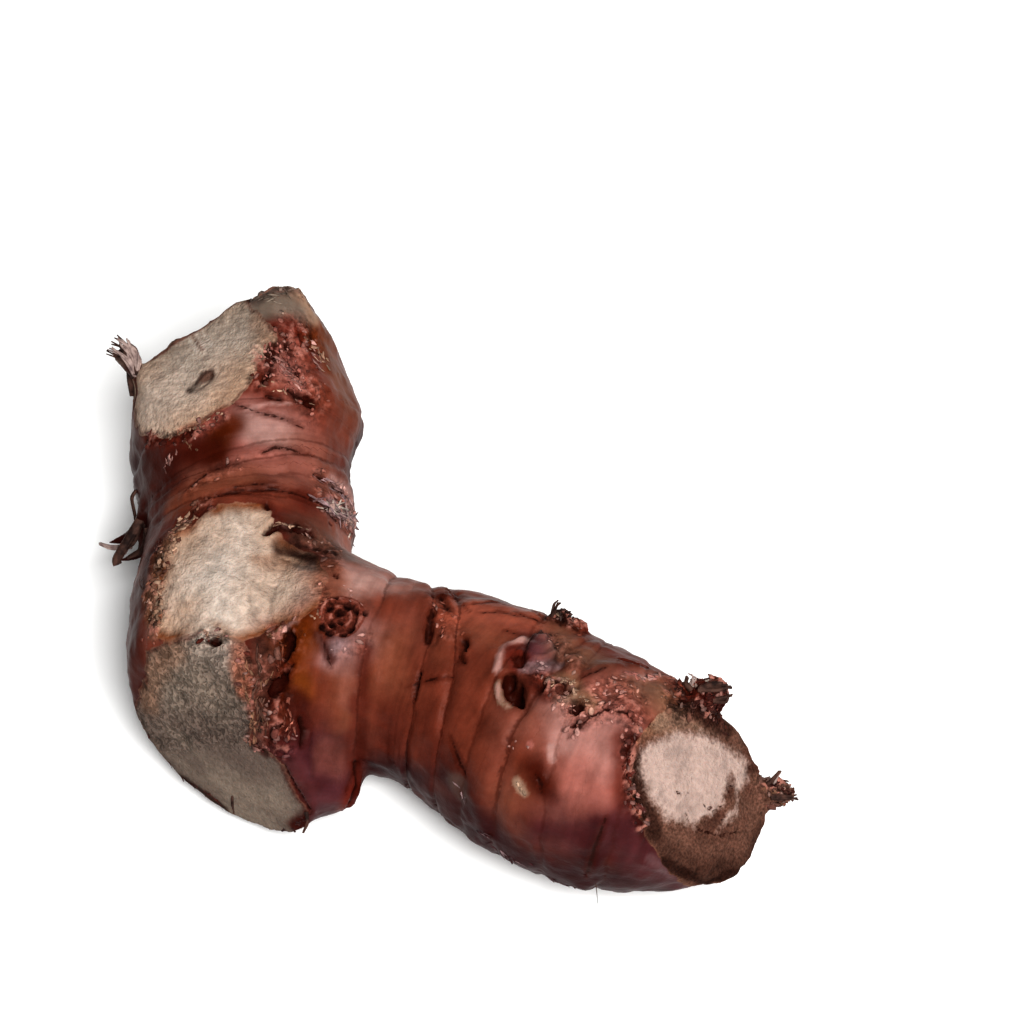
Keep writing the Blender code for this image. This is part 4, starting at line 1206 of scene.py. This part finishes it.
# How dull a surface is, from its roughness, decides how grainy it is and how much it shines.
DULL_LOW = 0.3
DULL_HIGH = 1.6
bump_height = add(tree, "Math", {"operation": "MULTIPLY_ADD"}, {0: wrinkle, 1: 0.5, 2: fine})
bump_height = add(tree, "Math", {"operation": "MULTIPLY_ADD"}, {0: fibre, 1: 0.5, 2: bump_height})
dull = {"Value": rough, "From Min": 0.5, "From Max": 0.8, "To Min": DULL_LOW, "To Max": DULL_HIGH}
dull = add(tree, "MapRange", {}, dull)
by_dullness = {"Value": dull, "From Min": DULL_LOW, "From Max": DULL_HIGH}
bump_height = add(tree, "Math", {"operation": "MULTIPLY_ADD"}, {0: grain, 1: dull, 2: bump_height})
bump_height = add(tree, "Math", {"operation": "MULTIPLY_ADD"}, {0: net_line, 1: 1.2, 2: bump_height})
bump_distance = add(tree, "MapRange", {}, {**by_dullness, "To Min": 0.06 * MM, "To Max": 0.2 * MM})
normal = add(tree, "Bump", {}, {"Height": bump_height, "Distance": bump_distance, "Strength": 0.8})
gloss = add(tree, "MapRange", {}, {**by_dullness, "To Min": 0.3, "To Max": 0.1})
underside_dulling = add(tree, "MapRange", {}, {"Value": mark["underside_shade_and_soil"], "To Min": 1.0, "To Max": 0.4})
gloss = add(tree, "Math", {"operation": "MULTIPLY"}, {0: gloss, 1: underside_dulling})
tree.links.new(gloss, shader.inputs["Specular IOR Level"])
shader.inputs["Specular Tint"].default_value = SHEEN_TINT
tree.links.new(colour, shader.inputs["Base Color"])
tree.links.new(rough, shader.inputs["Roughness"])
tree.links.new(normal, shader.inputs["Normal"])
shader.inputs["IOR"].default_value = SKIN_IOR
shader.inputs["Subsurface Weight"].default_value = 0.08
shader.inputs["Subsurface Radius"].default_value = (1.0, 0.35, 0.2)
shader.inputs["Subsurface Scale"].default_value = 1.5 * MM
skin.data.materials.append(cork)
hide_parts("galangal_rhizome")
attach(skin, "root")
print("nodes in the skin's material:", len(tree.nodes))

# %% [markdown]
# ## Crumbs and scales
# Round each wound the skin breaks up into crumbs of cork and thin, ragged scales that stand off the root,
# and they catch the light. Each is modelled once: a crumb is an icosphere, and a scale is a finer one
# pressed flat. Some hundreds of copies are then turned, stretched and bent by seeded random numbers, and
# joined to one mesh. Each copy has its own colour, mixed from a pale or dark one and that of the skin under
# it.

# %% Model a crumb and a scale
SCALE_THIN = 0.14


def take_shape(name):
    """The points and faces of the shape just modelled, which is then deleted."""
    shape = bpy.context.object
    points = np.array([vertex.co for vertex in shape.data.vertices])
    faces = [tuple(face.vertices) for face in shape.data.polygons]
    bpy.ops.object.delete()
    print(name, len(faces), "faces")
    return points, faces


bpy.ops.object.select_all(action="DESELECT")
bpy.ops.mesh.primitive_ico_sphere_add(subdivisions=1, radius=1.0)
crumb_shape = take_shape("crumb")
bpy.ops.mesh.primitive_ico_sphere_add(subdivisions=2, radius=1.0)
bpy.ops.object.mode_set(mode="EDIT")
bpy.ops.mesh.select_all(action="SELECT")
bpy.ops.transform.resize(value=(1, 1, SCALE_THIN))
bpy.ops.object.mode_set(mode="OBJECT")
scale_shape = take_shape("scale")

# %% [markdown]
# Dried cork and dried root sheath are matt and brittle: rough, with hardly any sheen, and mottled along the
# fibre.

# %% Make the dry cork
DRY_ROUGHNESS = 0.75
DRY_SHEEN = 0.2
CLEAR_OF_TABLE = 0.02


def dry_out(shader):
    """Gives a shader the dull surface of dried plant tissue."""
    shader.inputs["Roughness"].default_value = DRY_ROUGHNESS
    shader.inputs["Specular IOR Level"].default_value = DRY_SHEEN


dry_cork, tree, shader = new_material("dried_cork_scales")
places = add(tree, "TexCoord", {}, {}, "Object")
dry_fine = add(tree, "TexNoise", {}, {"Vector": places, "Scale": 1 / (0.6 * MM), "Detail": 3.0})
dry_paint = add(tree, "Attribute", {"attribute_name": "paint"}, {}, "Color")
dry_factor = {"Value": dry_fine, "From Min": 0.3, "From Max": 0.7, "To Min": 0.6, "To Max": 1.4}
dry_factor = add(tree, "MapRange", {}, dry_factor)
dry_colour = add(tree, "VectorMath", {"operation": "SCALE"}, {0: dry_paint, "Scale": dry_factor})
dry_normal = add(tree, "Bump", {}, {"Height": dry_fine, "Distance": 0.12 * MM, "Strength": 0.8})
tree.links.new(dry_colour, shader.inputs["Base Color"])
tree.links.new(dry_normal, shader.inputs["Normal"])
dry_out(shader)


def finish_piece(obj, material):
    """Smooths a finished piece, gives it its material and lets it ride on the root."""
    obj.data.materials.clear()
    obj.data.materials.append(material)
    select_only(obj)
    bpy.ops.object.shade_smooth()
    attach(obj, "root")


def strew(name, shape, spots, jitter, bend, seed):
    """Joins bent copies of a shape, one for each spot: place, normal, long way, tilt, sizes and colour."""
    points, faces = shape
    random = np.random.default_rng(seed)
    all_points, all_faces, all_colours = [], [], []
    for place, outward, long_way, tilt, sizes, colour in spots:
        across = np.cross(outward, long_way)
        across /= np.linalg.norm(across) + 1e-9
        along = np.cross(across, outward)
        along, outward = (
            math.cos(tilt) * along + math.sin(tilt) * outward,
            math.cos(tilt) * outward - math.sin(tilt) * along,
        )
        local = points * (1 + jitter * random.uniform(-1, 1, (len(points), 1)))
        local[:, 1] *= 1 + random.uniform(-0.7, 0.7) * local[:, 0]
        local[:, 2] += bend * random.uniform(0.3, 1) * (local[:, 0] ** 2 - 0.5)
        local *= sizes
        made = place + local[:, :1] * along + local[:, 1:2] * across + local[:, 2:] * outward
        made[:, 2] = np.maximum(made[:, 2], CLEAR_OF_TABLE)
        all_faces += [tuple(len(points) * len(all_points) + k for k in face) for face in faces]
        all_points.append(made)
        all_colours.append(np.tile((*np.clip(colour, 0, 0.8), 1), (len(points), 1)))
    mesh = bpy.data.meshes.new(name)
    mesh.from_pydata((np.concatenate(all_points) * MM).tolist(), [], all_faces)
    obj = bpy.data.objects.new(name, mesh)
    bpy.context.scene.collection.objects.link(obj)
    store(obj, "paint", "FLOAT_COLOR", "color", np.concatenate(all_colours))
    finish_piece(obj, dry_cork)
    print(name, len(spots), "copies,", len(all_faces), "triangles")


print("material:", dry_cork.name)

# %% Strew crumbs over the crust
CRUMBS = 900
PALE_TINT = np.array((1, 0.72, 0.64))
skin_tree = BVHTree.FromObject(skin, bpy.context.evaluated_depsgraph_get())
random = np.random.default_rng(seed=5)
chance = (crust * (1 - 0.9 * pit)) ** 2
crumb_spots = []
for k in random.choice(len(skin_places), CRUMBS, p=chance / chance.sum()):
    size = random.uniform(0.14, 0.42) * (1.6 if random.uniform() > 0.88 else 1)
    sizes = size * np.array((random.uniform(1, 2.4), 1, random.uniform(0.3, 0.8)))
    tone = skin_coat[k] * random.uniform(0.6, 1.6) + random.uniform(0, 0.4) ** 2 * PALE_TINT
    way, tilt = random.normal(size=3), random.uniform(-0.5, 0.5)
    crumb_spots.append((skin_places[k], skin_normals[k], way, tilt, sizes, tone))
strew("crust_crumbs", crumb_shape, crumb_spots, jitter=0.42, bend=0.2, seed=6)

# %% [markdown]
# Scales stand in rows: along the torn rim of the crown, where the neck's skin has split, round the bud and
# the cavity beside it, and along the lower edge of the old cut. A row is a line of pixels with a number of
# scales, their length and width, how far they lift off, and their colour.

# %% Set the rows of scales
SCALE_ROWS = (
    # colour, pixels, scales, length, width, tilt, scatter
    ("lilac", ((318, 500), (334, 510), (350, 524), (366, 536)), 34, 3.4, 0.5, 0.1, 7),
    ("chalk", ((322, 504), (338, 508), (352, 522), (364, 536)), 26, 3.2, 0.45, 0.12, 6),
    ("lilac", ((318, 478), (332, 486), (346, 499), (354, 512)), 16, 2.6, 0.4, 0.1, 4),
    ("soot", ((330, 512), (350, 528)), 10, 1.4, 0.35, 0.3, 6),
    ("cream", ((551, 683), (561, 679), (572, 683), (577, 694), (592, 704)), 24, 0.8, 0.5, 0.4, 3),
    ("pale", ((566, 692), (560, 700), (550, 712)), 10, 0.8, 0.5, 0.3, 4),
    ("soot", ((672, 702), (690, 707), (714, 716), (730, 732)), 34, 1.0, 0.5, 0.4, 6),
    ("pale", ((594, 700), (606, 692), (624, 692), (606, 704)), 12, 0.7, 0.5, 0.4, 4),
    ("pink", ((628, 672), (640, 678), (656, 680)), 10, 1.4, 0.6, 0.3, 2),
    ("pale", ((642, 679), (654, 679)), 4, 1.1, 0.4, 0.3, 1),
    ("cream", ((196, 506), (178, 532), (164, 560), (158, 592), (158, 624)), 60, 1.0, 0.8, 0.2, 7),
    ("bark", ((200, 504), (176, 530), (160, 560), (154, 592), (154, 628)), 40, 1.1, 0.8, 0.2, 6),
    ("cream", ((202, 628), (208, 636), (224, 636), (226, 644)), 9, 0.7, 0.4, 0.5, 2),
    ("beige", ((262, 640), (272, 634), (286, 626)), 8, 1.3, 0.4, 0.3, 3),
    ("cream", ((268, 530), (280, 523), (294, 526), (308, 530)), 9, 1.3, 0.35, 0.3, 2),
    ("cream", ((312, 612), (320, 622), (318, 606)), 5, 0.8, 0.4, 0.4, 3),
    ("pale", ((344, 584), (352, 600), (362, 606)), 6, 0.8, 0.4, 0.2, 4),
    ("tan", ((276, 636), (282, 652), (278, 668)), 12, 1.6, 0.35, 0.3, 4),
    ("beige", ((246, 660), (250, 700), (256, 742)), 30, 1.6, 0.35, 0.3, 6),
    ("bark", ((262, 650), (258, 690), (262, 730)), 30, 2.2, 0.35, 0.25, 7),
    ("beige", ((272, 660), (264, 690), (262, 730)), 12, 1.5, 0.3, 0.3, 7),
    ("rose", ((282, 700), (290, 722), (284, 742)), 12, 1.8, 0.5, 0.4, 6),
    ("umber", ((142, 728), (166, 762), (188, 782), (212, 798), (236, 820)), 26, 1.6, 0.5, 0.2, 3),
    ("umber", ((246, 832), (276, 836), (300, 824), (312, 812)), 16, 1.5, 0.5, 0.2, 3),
    ("cream", ((170, 436), (188, 430), (204, 424), (222, 414)), 22, 0.9, 0.35, 0.4, 3),
    ("beige", ((180, 434), (188, 444), (196, 452)), 10, 1.0, 0.3, 0.4, 3),
    ("pale", ((160, 472), (168, 462), (174, 456)), 14, 1.2, 0.5, 0.3, 4),
    ("cream", ((262, 384), (286, 392), (310, 404)), 8, 1.4, 0.35, 0.3, 3),
    ("pink", ((270, 350), (290, 372), (300, 390)), 34, 1.1, 0.55, 0.4, 14),
    ("pale", ((270, 354), (282, 366), (298, 386)), 14, 2.2, 0.45, 0.3, 5),
    ("cream", ((304, 340), (318, 352), (330, 376)), 12, 1.2, 0.5, 0.3, 6),
    ("pale", ((296, 330), (312, 344), (318, 366)), 14, 1.0, 0.5, 0.4, 8),
    ("beige", ((300, 296), (312, 304), (318, 316)), 8, 1.2, 0.4, 0.2, 4),
    ("ash", ((240, 304), (266, 296), (296, 290)), 16, 2.0, 0.3, 0.15, 5),
    ("rose", ((438, 600), (446, 612), (436, 624)), 6, 0.8, 0.45, 0.3, 6),
    ("pale", ((506, 748), (516, 742), (530, 746)), 4, 0.5, 0.35, 0.3, 3),
    ("cream", ((517, 783), (524, 793)), 4, 0.9, 0.5, 0.2, 1),
    ("lilac", ((452, 782), (460, 794), (466, 800)), 7, 1.2, 0.3, 0.2, 3),
    ("plum", ((477, 826), (496, 850), (532, 870), (586, 896)), 26, 1.8, 0.5, 0.2, 4),
    ("lilac", ((480, 828), (500, 852), (530, 868)), 9, 1.4, 0.3, 0.2, 3),
    ("redbrown", ((628, 780), (634, 802), (642, 822)), 10, 0.8, 0.35, 0.4, 2),
    ("brown", ((630, 740), (627, 770), (632, 810)), 16, 1.0, 0.5, 0.4, 3),
    ("soot", ((676, 690), (700, 680), (724, 688)), 60, 1.0, 0.55, 0.7, 10),
    ("umber", ((680, 700), (706, 700), (728, 712)), 30, 1.3, 0.6, 0.6, 8),
    ("chalk", ((686, 684), (694, 686)), 7, 0.9, 0.5, 0.4, 3),
    ("chalk", ((708, 680), (718, 684)), 5, 1.0, 0.5, 0.4, 3),
    ("umber", ((768, 784), (784, 790), (790, 798)), 30, 1.1, 0.6, 0.3, 6),
    ("beige", ((762, 788), (778, 796), (776, 808)), 12, 1.2, 0.6, 0.4, 5),
    ("soot", ((550, 606), (560, 612), (572, 618)), 22, 1.1, 0.5, 0.6, 6),
    ("cream", ((548, 611), (556, 614), (562, 618)), 3, 1.6, 0.25, 0.2, 1),
)
random = np.random.default_rng(seed=8)
skin_points = KDTree(len(skin_places))
for k, place in enumerate(skin_places):
    skin_points.insert(place, k)
skin_points.balance()
scale_spots = []
for name, pixels, count, length, width, tilt, scatter in SCALE_ROWS:
    row = np.array(pixels, float)
    for k in range(count):
        at = random.uniform(0, len(row) - 1.001)
        a, b = row[int(at)], row[int(at) + 1]
        px, py = a + (b - a) * (at - int(at)) + random.normal(0, 0.5, 2) * scatter
        place, outward = met_at(px, py)
        way = to_right * (b - a)[0] - to_top * (b - a)[1]
        way = way / np.linalg.norm(way) + random.normal(0, 0.35, 3)
        sizes = np.array((length / 2, width / 2, width / 2)) * random.uniform(0.6, 1.3, 3)
        colour = np.array(linear(PALETTE[name], CUT_GAIN)[:3]) * random.uniform(0.5, 1.2)
        skin_tone = skin_coat[skin_points.find((*place,))[1]]
        colour += random.uniform(0, 0.7) * (skin_tone - colour)
        lift = random.uniform(0.2, 1) * tilt
        scale_spots.append((place + 0.04 * outward, outward, way, lift, sizes, colour))
strew("loose_scales", scale_shape, scale_spots, jitter=0.42, bend=0.5, seed=9)

# %% [markdown]
# ## Root fibres
# Trimmed roots end in frayed fibres. A fibre is a curve with a round bevel that narrows to its tip, made a
# mesh in the end. Its points are pixels too, at the depth of the place where the root leaves the skin, with
# a bulge in millimetres towards the camera. A seeded random bend keeps any two from being alike.

# %% Grow the fibres
FIBRE_POINTS = 14


def grow_fibres(name, lines, material, seed):
    """Tapered fibres. A line is pixels, a bulge, the radius at the root and at the tip, copies and spread."""
    random = np.random.default_rng(seed)
    curve = bpy.data.curves.new(name, "CURVE")
    curve.dimensions = "3D"
    curve.bevel_depth = MM
    curve.bevel_resolution = 1
    curve.use_fill_caps = True
    for pixels, bulge, radius, tip, copies, spread in lines:
        root = seen_at(*pixels[0])
        for k in range(copies):
            bends = random.normal(0, spread, (len(pixels), 2))
            bends[0] *= 0.4
            corners = [in_plane(*(np.array(pixel) + bend), root) for pixel, bend in zip(pixels, bends)]
            rows = np.array(corners)
            share = np.linspace(0, 1, len(rows))[:, None]
            rows += to_lens * (bulge * np.sin(share * 2.4) + random.normal(0, 0.25) * share)
            steps = np.linspace(0, len(rows) - 1, FIBRE_POINTS)
            smooth = np.column_stack([np.interp(steps, range(len(rows)), rows[:, axis]) for axis in range(3)])
            for _ in range(2):
                smooth[1:-1] = (smooth[:-2] + 2 * smooth[1:-1] + smooth[2:]) / 4
            spline = curve.splines.new("POLY")
            spline.points.add(FIBRE_POINTS - 1)
            for point, place, t in zip(spline.points, smooth, np.linspace(0, 1, FIBRE_POINTS)):
                point.co = (*(place * MM), 1)
                point.radius = radius + (tip - radius) * t
    obj = bpy.data.objects.new(name, curve)
    bpy.context.scene.collection.objects.link(obj)
    select_only(obj)
    bpy.ops.object.convert(target="MESH")
    finish_piece(bpy.context.object, material)
    print(name, len(curve.splines), "fibres")


def fibre_material(name, dark, light):
    """Dried root sheath: matt, streaked, paler where it has split."""
    made, tree, shader = new_material(name)
    places = add(tree, "TexCoord", {}, {}, "Object")
    streak = add(tree, "TexNoise", {}, {"Vector": places, "Scale": 1 / (1.2 * MM), "Detail": 3.0})
    contrast = add(tree, "MapRange", {}, {"Value": streak, "From Min": 0.35, "From Max": 0.65})
    colours = {0: contrast, 6: linear(dark, CUT_GAIN), 7: linear(light, CUT_GAIN)}
    tree.links.new(add(tree, "Mix", {"data_type": "RGBA"}, colours, 2), shader.inputs["Base Color"])
    tree.links.new(add(tree, "Bump", {}, {"Height": streak, "Distance": 0.1 * MM}), shader.inputs["Normal"])
    dry_out(shader)
    return made


dark_sheath = fibre_material("dark_root_sheath", "#2c1c18", "#5e443b")
pale_sheath = fibre_material("pale_root_sheath", "#7d6a66", "#b9a49c")
DARK_FIBRES = (
    # pixels, bulge, radius at the root and at the tip, copies, spread in pixels
    (((134, 396), (133, 382), (132, 370), (127, 358), (121, 350)), 0.3, 0.75, 0.7, 2, 1.2),
    (((134, 378), (131, 366), (121, 360), (106, 352)), 0.4, 0.4, 0.08, 3, 1.4),
    (((134, 372), (130, 358), (122, 347), (112, 344)), 0.5, 0.35, 0.1, 3, 2.0),
    (((135, 372), (133, 356), (127, 344), (118, 339)), 0.5, 0.35, 0.1, 3, 2.0),
    (((136, 374), (138, 362), (136, 350), (128, 344)), 0.6, 0.4, 0.12, 3, 2.0),
    (((136, 490), (131, 498), (134, 512), (136, 524)), 0.1, 0.3, 0.2, 2, 0.8),
    (((140, 520), (133, 534), (124, 548), (116, 560), (117, 565)), 0.4, 0.9, 0.85, 1, 0.5),
    (((142, 522), (132, 540), (122, 552)), 0.3, 0.5, 0.2, 3, 2.0),
    (((147, 528), (147, 540), (143, 551), (128, 559)), 0.3, 0.4, 0.2, 2, 0.8),
    (((144, 524), (145, 538), (141, 550), (131, 556)), 0.2, 0.25, 0.1, 2, 1.2),
    (((232, 796), (232, 806), (234, 814)), 0.1, 0.2, 0.08, 2, 0.8),
    (((306, 812), (308, 822), (303, 832)), 0.1, 0.3, 0.1, 2, 1.0),
    (((144, 590), (141, 582), (143, 574)), 0.1, 0.07, 0.03, 3, 2.0),
    (((596, 884), (597, 894), (598, 904)), 0.1, 0.07, 0.03, 1, 0.5),
    (((768, 784), (774, 776), (780, 771)), 0.2, 0.4, 0.15, 2, 1.2),
    (((772, 796), (784, 799), (796, 796)), 0.2, 0.5, 0.15, 4, 2.0),
    (((700, 690), (712, 684), (727, 688)), 0.4, 0.45, 0.25, 6, 4.0),
    (((690, 690), (685, 682), (687, 676)), 0.5, 0.5, 0.2, 2, 1.2),
    (((714, 700), (724, 698), (730, 694)), 0.5, 0.4, 0.15, 3, 2.0),
    (((552, 616), (556, 606), (560, 602)), 0.3, 0.3, 0.1, 4, 2.0),
)
PALE_FIBRES = (
    (((135, 376), (131, 362), (121, 354), (110, 348)), 0.8, 0.35, 0.1, 5, 1.6),
    (((135, 372), (132, 356), (124, 344), (118, 340)), 1.0, 0.4, 0.1, 5, 2.2),
    (((136, 372), (137, 358), (133, 348), (126, 341)), 1.1, 0.45, 0.12, 4, 2.0),
    (((137, 372), (141, 362), (139, 352)), 0.8, 0.35, 0.15, 3, 1.4),
    (((132, 546), (120, 547), (110, 547), (100, 544)), 0.6, 0.5, 0.12, 4, 1.2),
    (((140, 526), (132, 540), (124, 553)), 0.9, 0.4, 0.2, 2, 1.2),
    (((774, 784), (778, 778), (781, 773)), 0.5, 0.25, 0.1, 1, 0.8),
    (((690, 686), (694, 680), (690, 675)), 0.9, 0.25, 0.1, 3, 1.4),
)
grow_fibres("dark_root_fibres", DARK_FIBRES, dark_sheath, seed=14)
grow_fibres("pale_root_fibres", PALE_FIBRES, pale_sheath, seed=15)

# %% [markdown]
# ## Studio
# The root lies on a plain pale sweep. One broad soft light stands near the camera and a little above it, so
# that what faces the camera is bright, the sides fall off into shade, and shadows hide behind the root. A
# weak light at the back keeps the far side from going black. The world adds the rest, as pale studio walls
# would.

# %% Add the floor and the lights
FLOOR_SIZE = 4.0
WORLD_LIGHT = 0.22
bpy.ops.object.select_all(action="DESELECT")
bpy.ops.mesh.primitive_plane_add(size=FLOOR_SIZE, location=(0, 0, 0))
floor = bpy.context.object
floor.name = "floor"
matt_paper, _, paper_shader = new_material("matt_white_paper")
paper_shader.inputs["Base Color"].default_value = linear("#f7f7f6")
paper_shader.inputs["Roughness"].default_value = 0.9
floor.data.materials.append(matt_paper)

LIGHTS = (
    # name, place, size of the panel, power
    ("key", (0.14, -0.36, 0.58), 0.3, 5.4),
    ("back", (0.2, 0.5, 0.5), 0.4, 0.9),
)
for name, place, size, power in LIGHTS:
    aim = -Vector(place)
    bpy.ops.object.light_add(type="AREA", location=place, rotation=aim.to_track_quat("-Z", "Y").to_euler())
    light = bpy.context.object
    light.name = name
    light.data.size = size
    light.data.energy = power
world = bpy.data.worlds.new("studio")
bpy.context.scene.world = world
world.use_nodes = True
background = world.node_tree.nodes["Background"]
background.inputs["Color"].default_value = (1.0, 1.0, 1.0, 1.0)
background.inputs["Strength"].default_value = WORLD_LIGHT
bpy.context.scene.view_settings.view_transform = "Standard"
bpy.context.scene.view_settings.look = "High Contrast"
print("lights:", [name for name, *_ in LIGHTS])
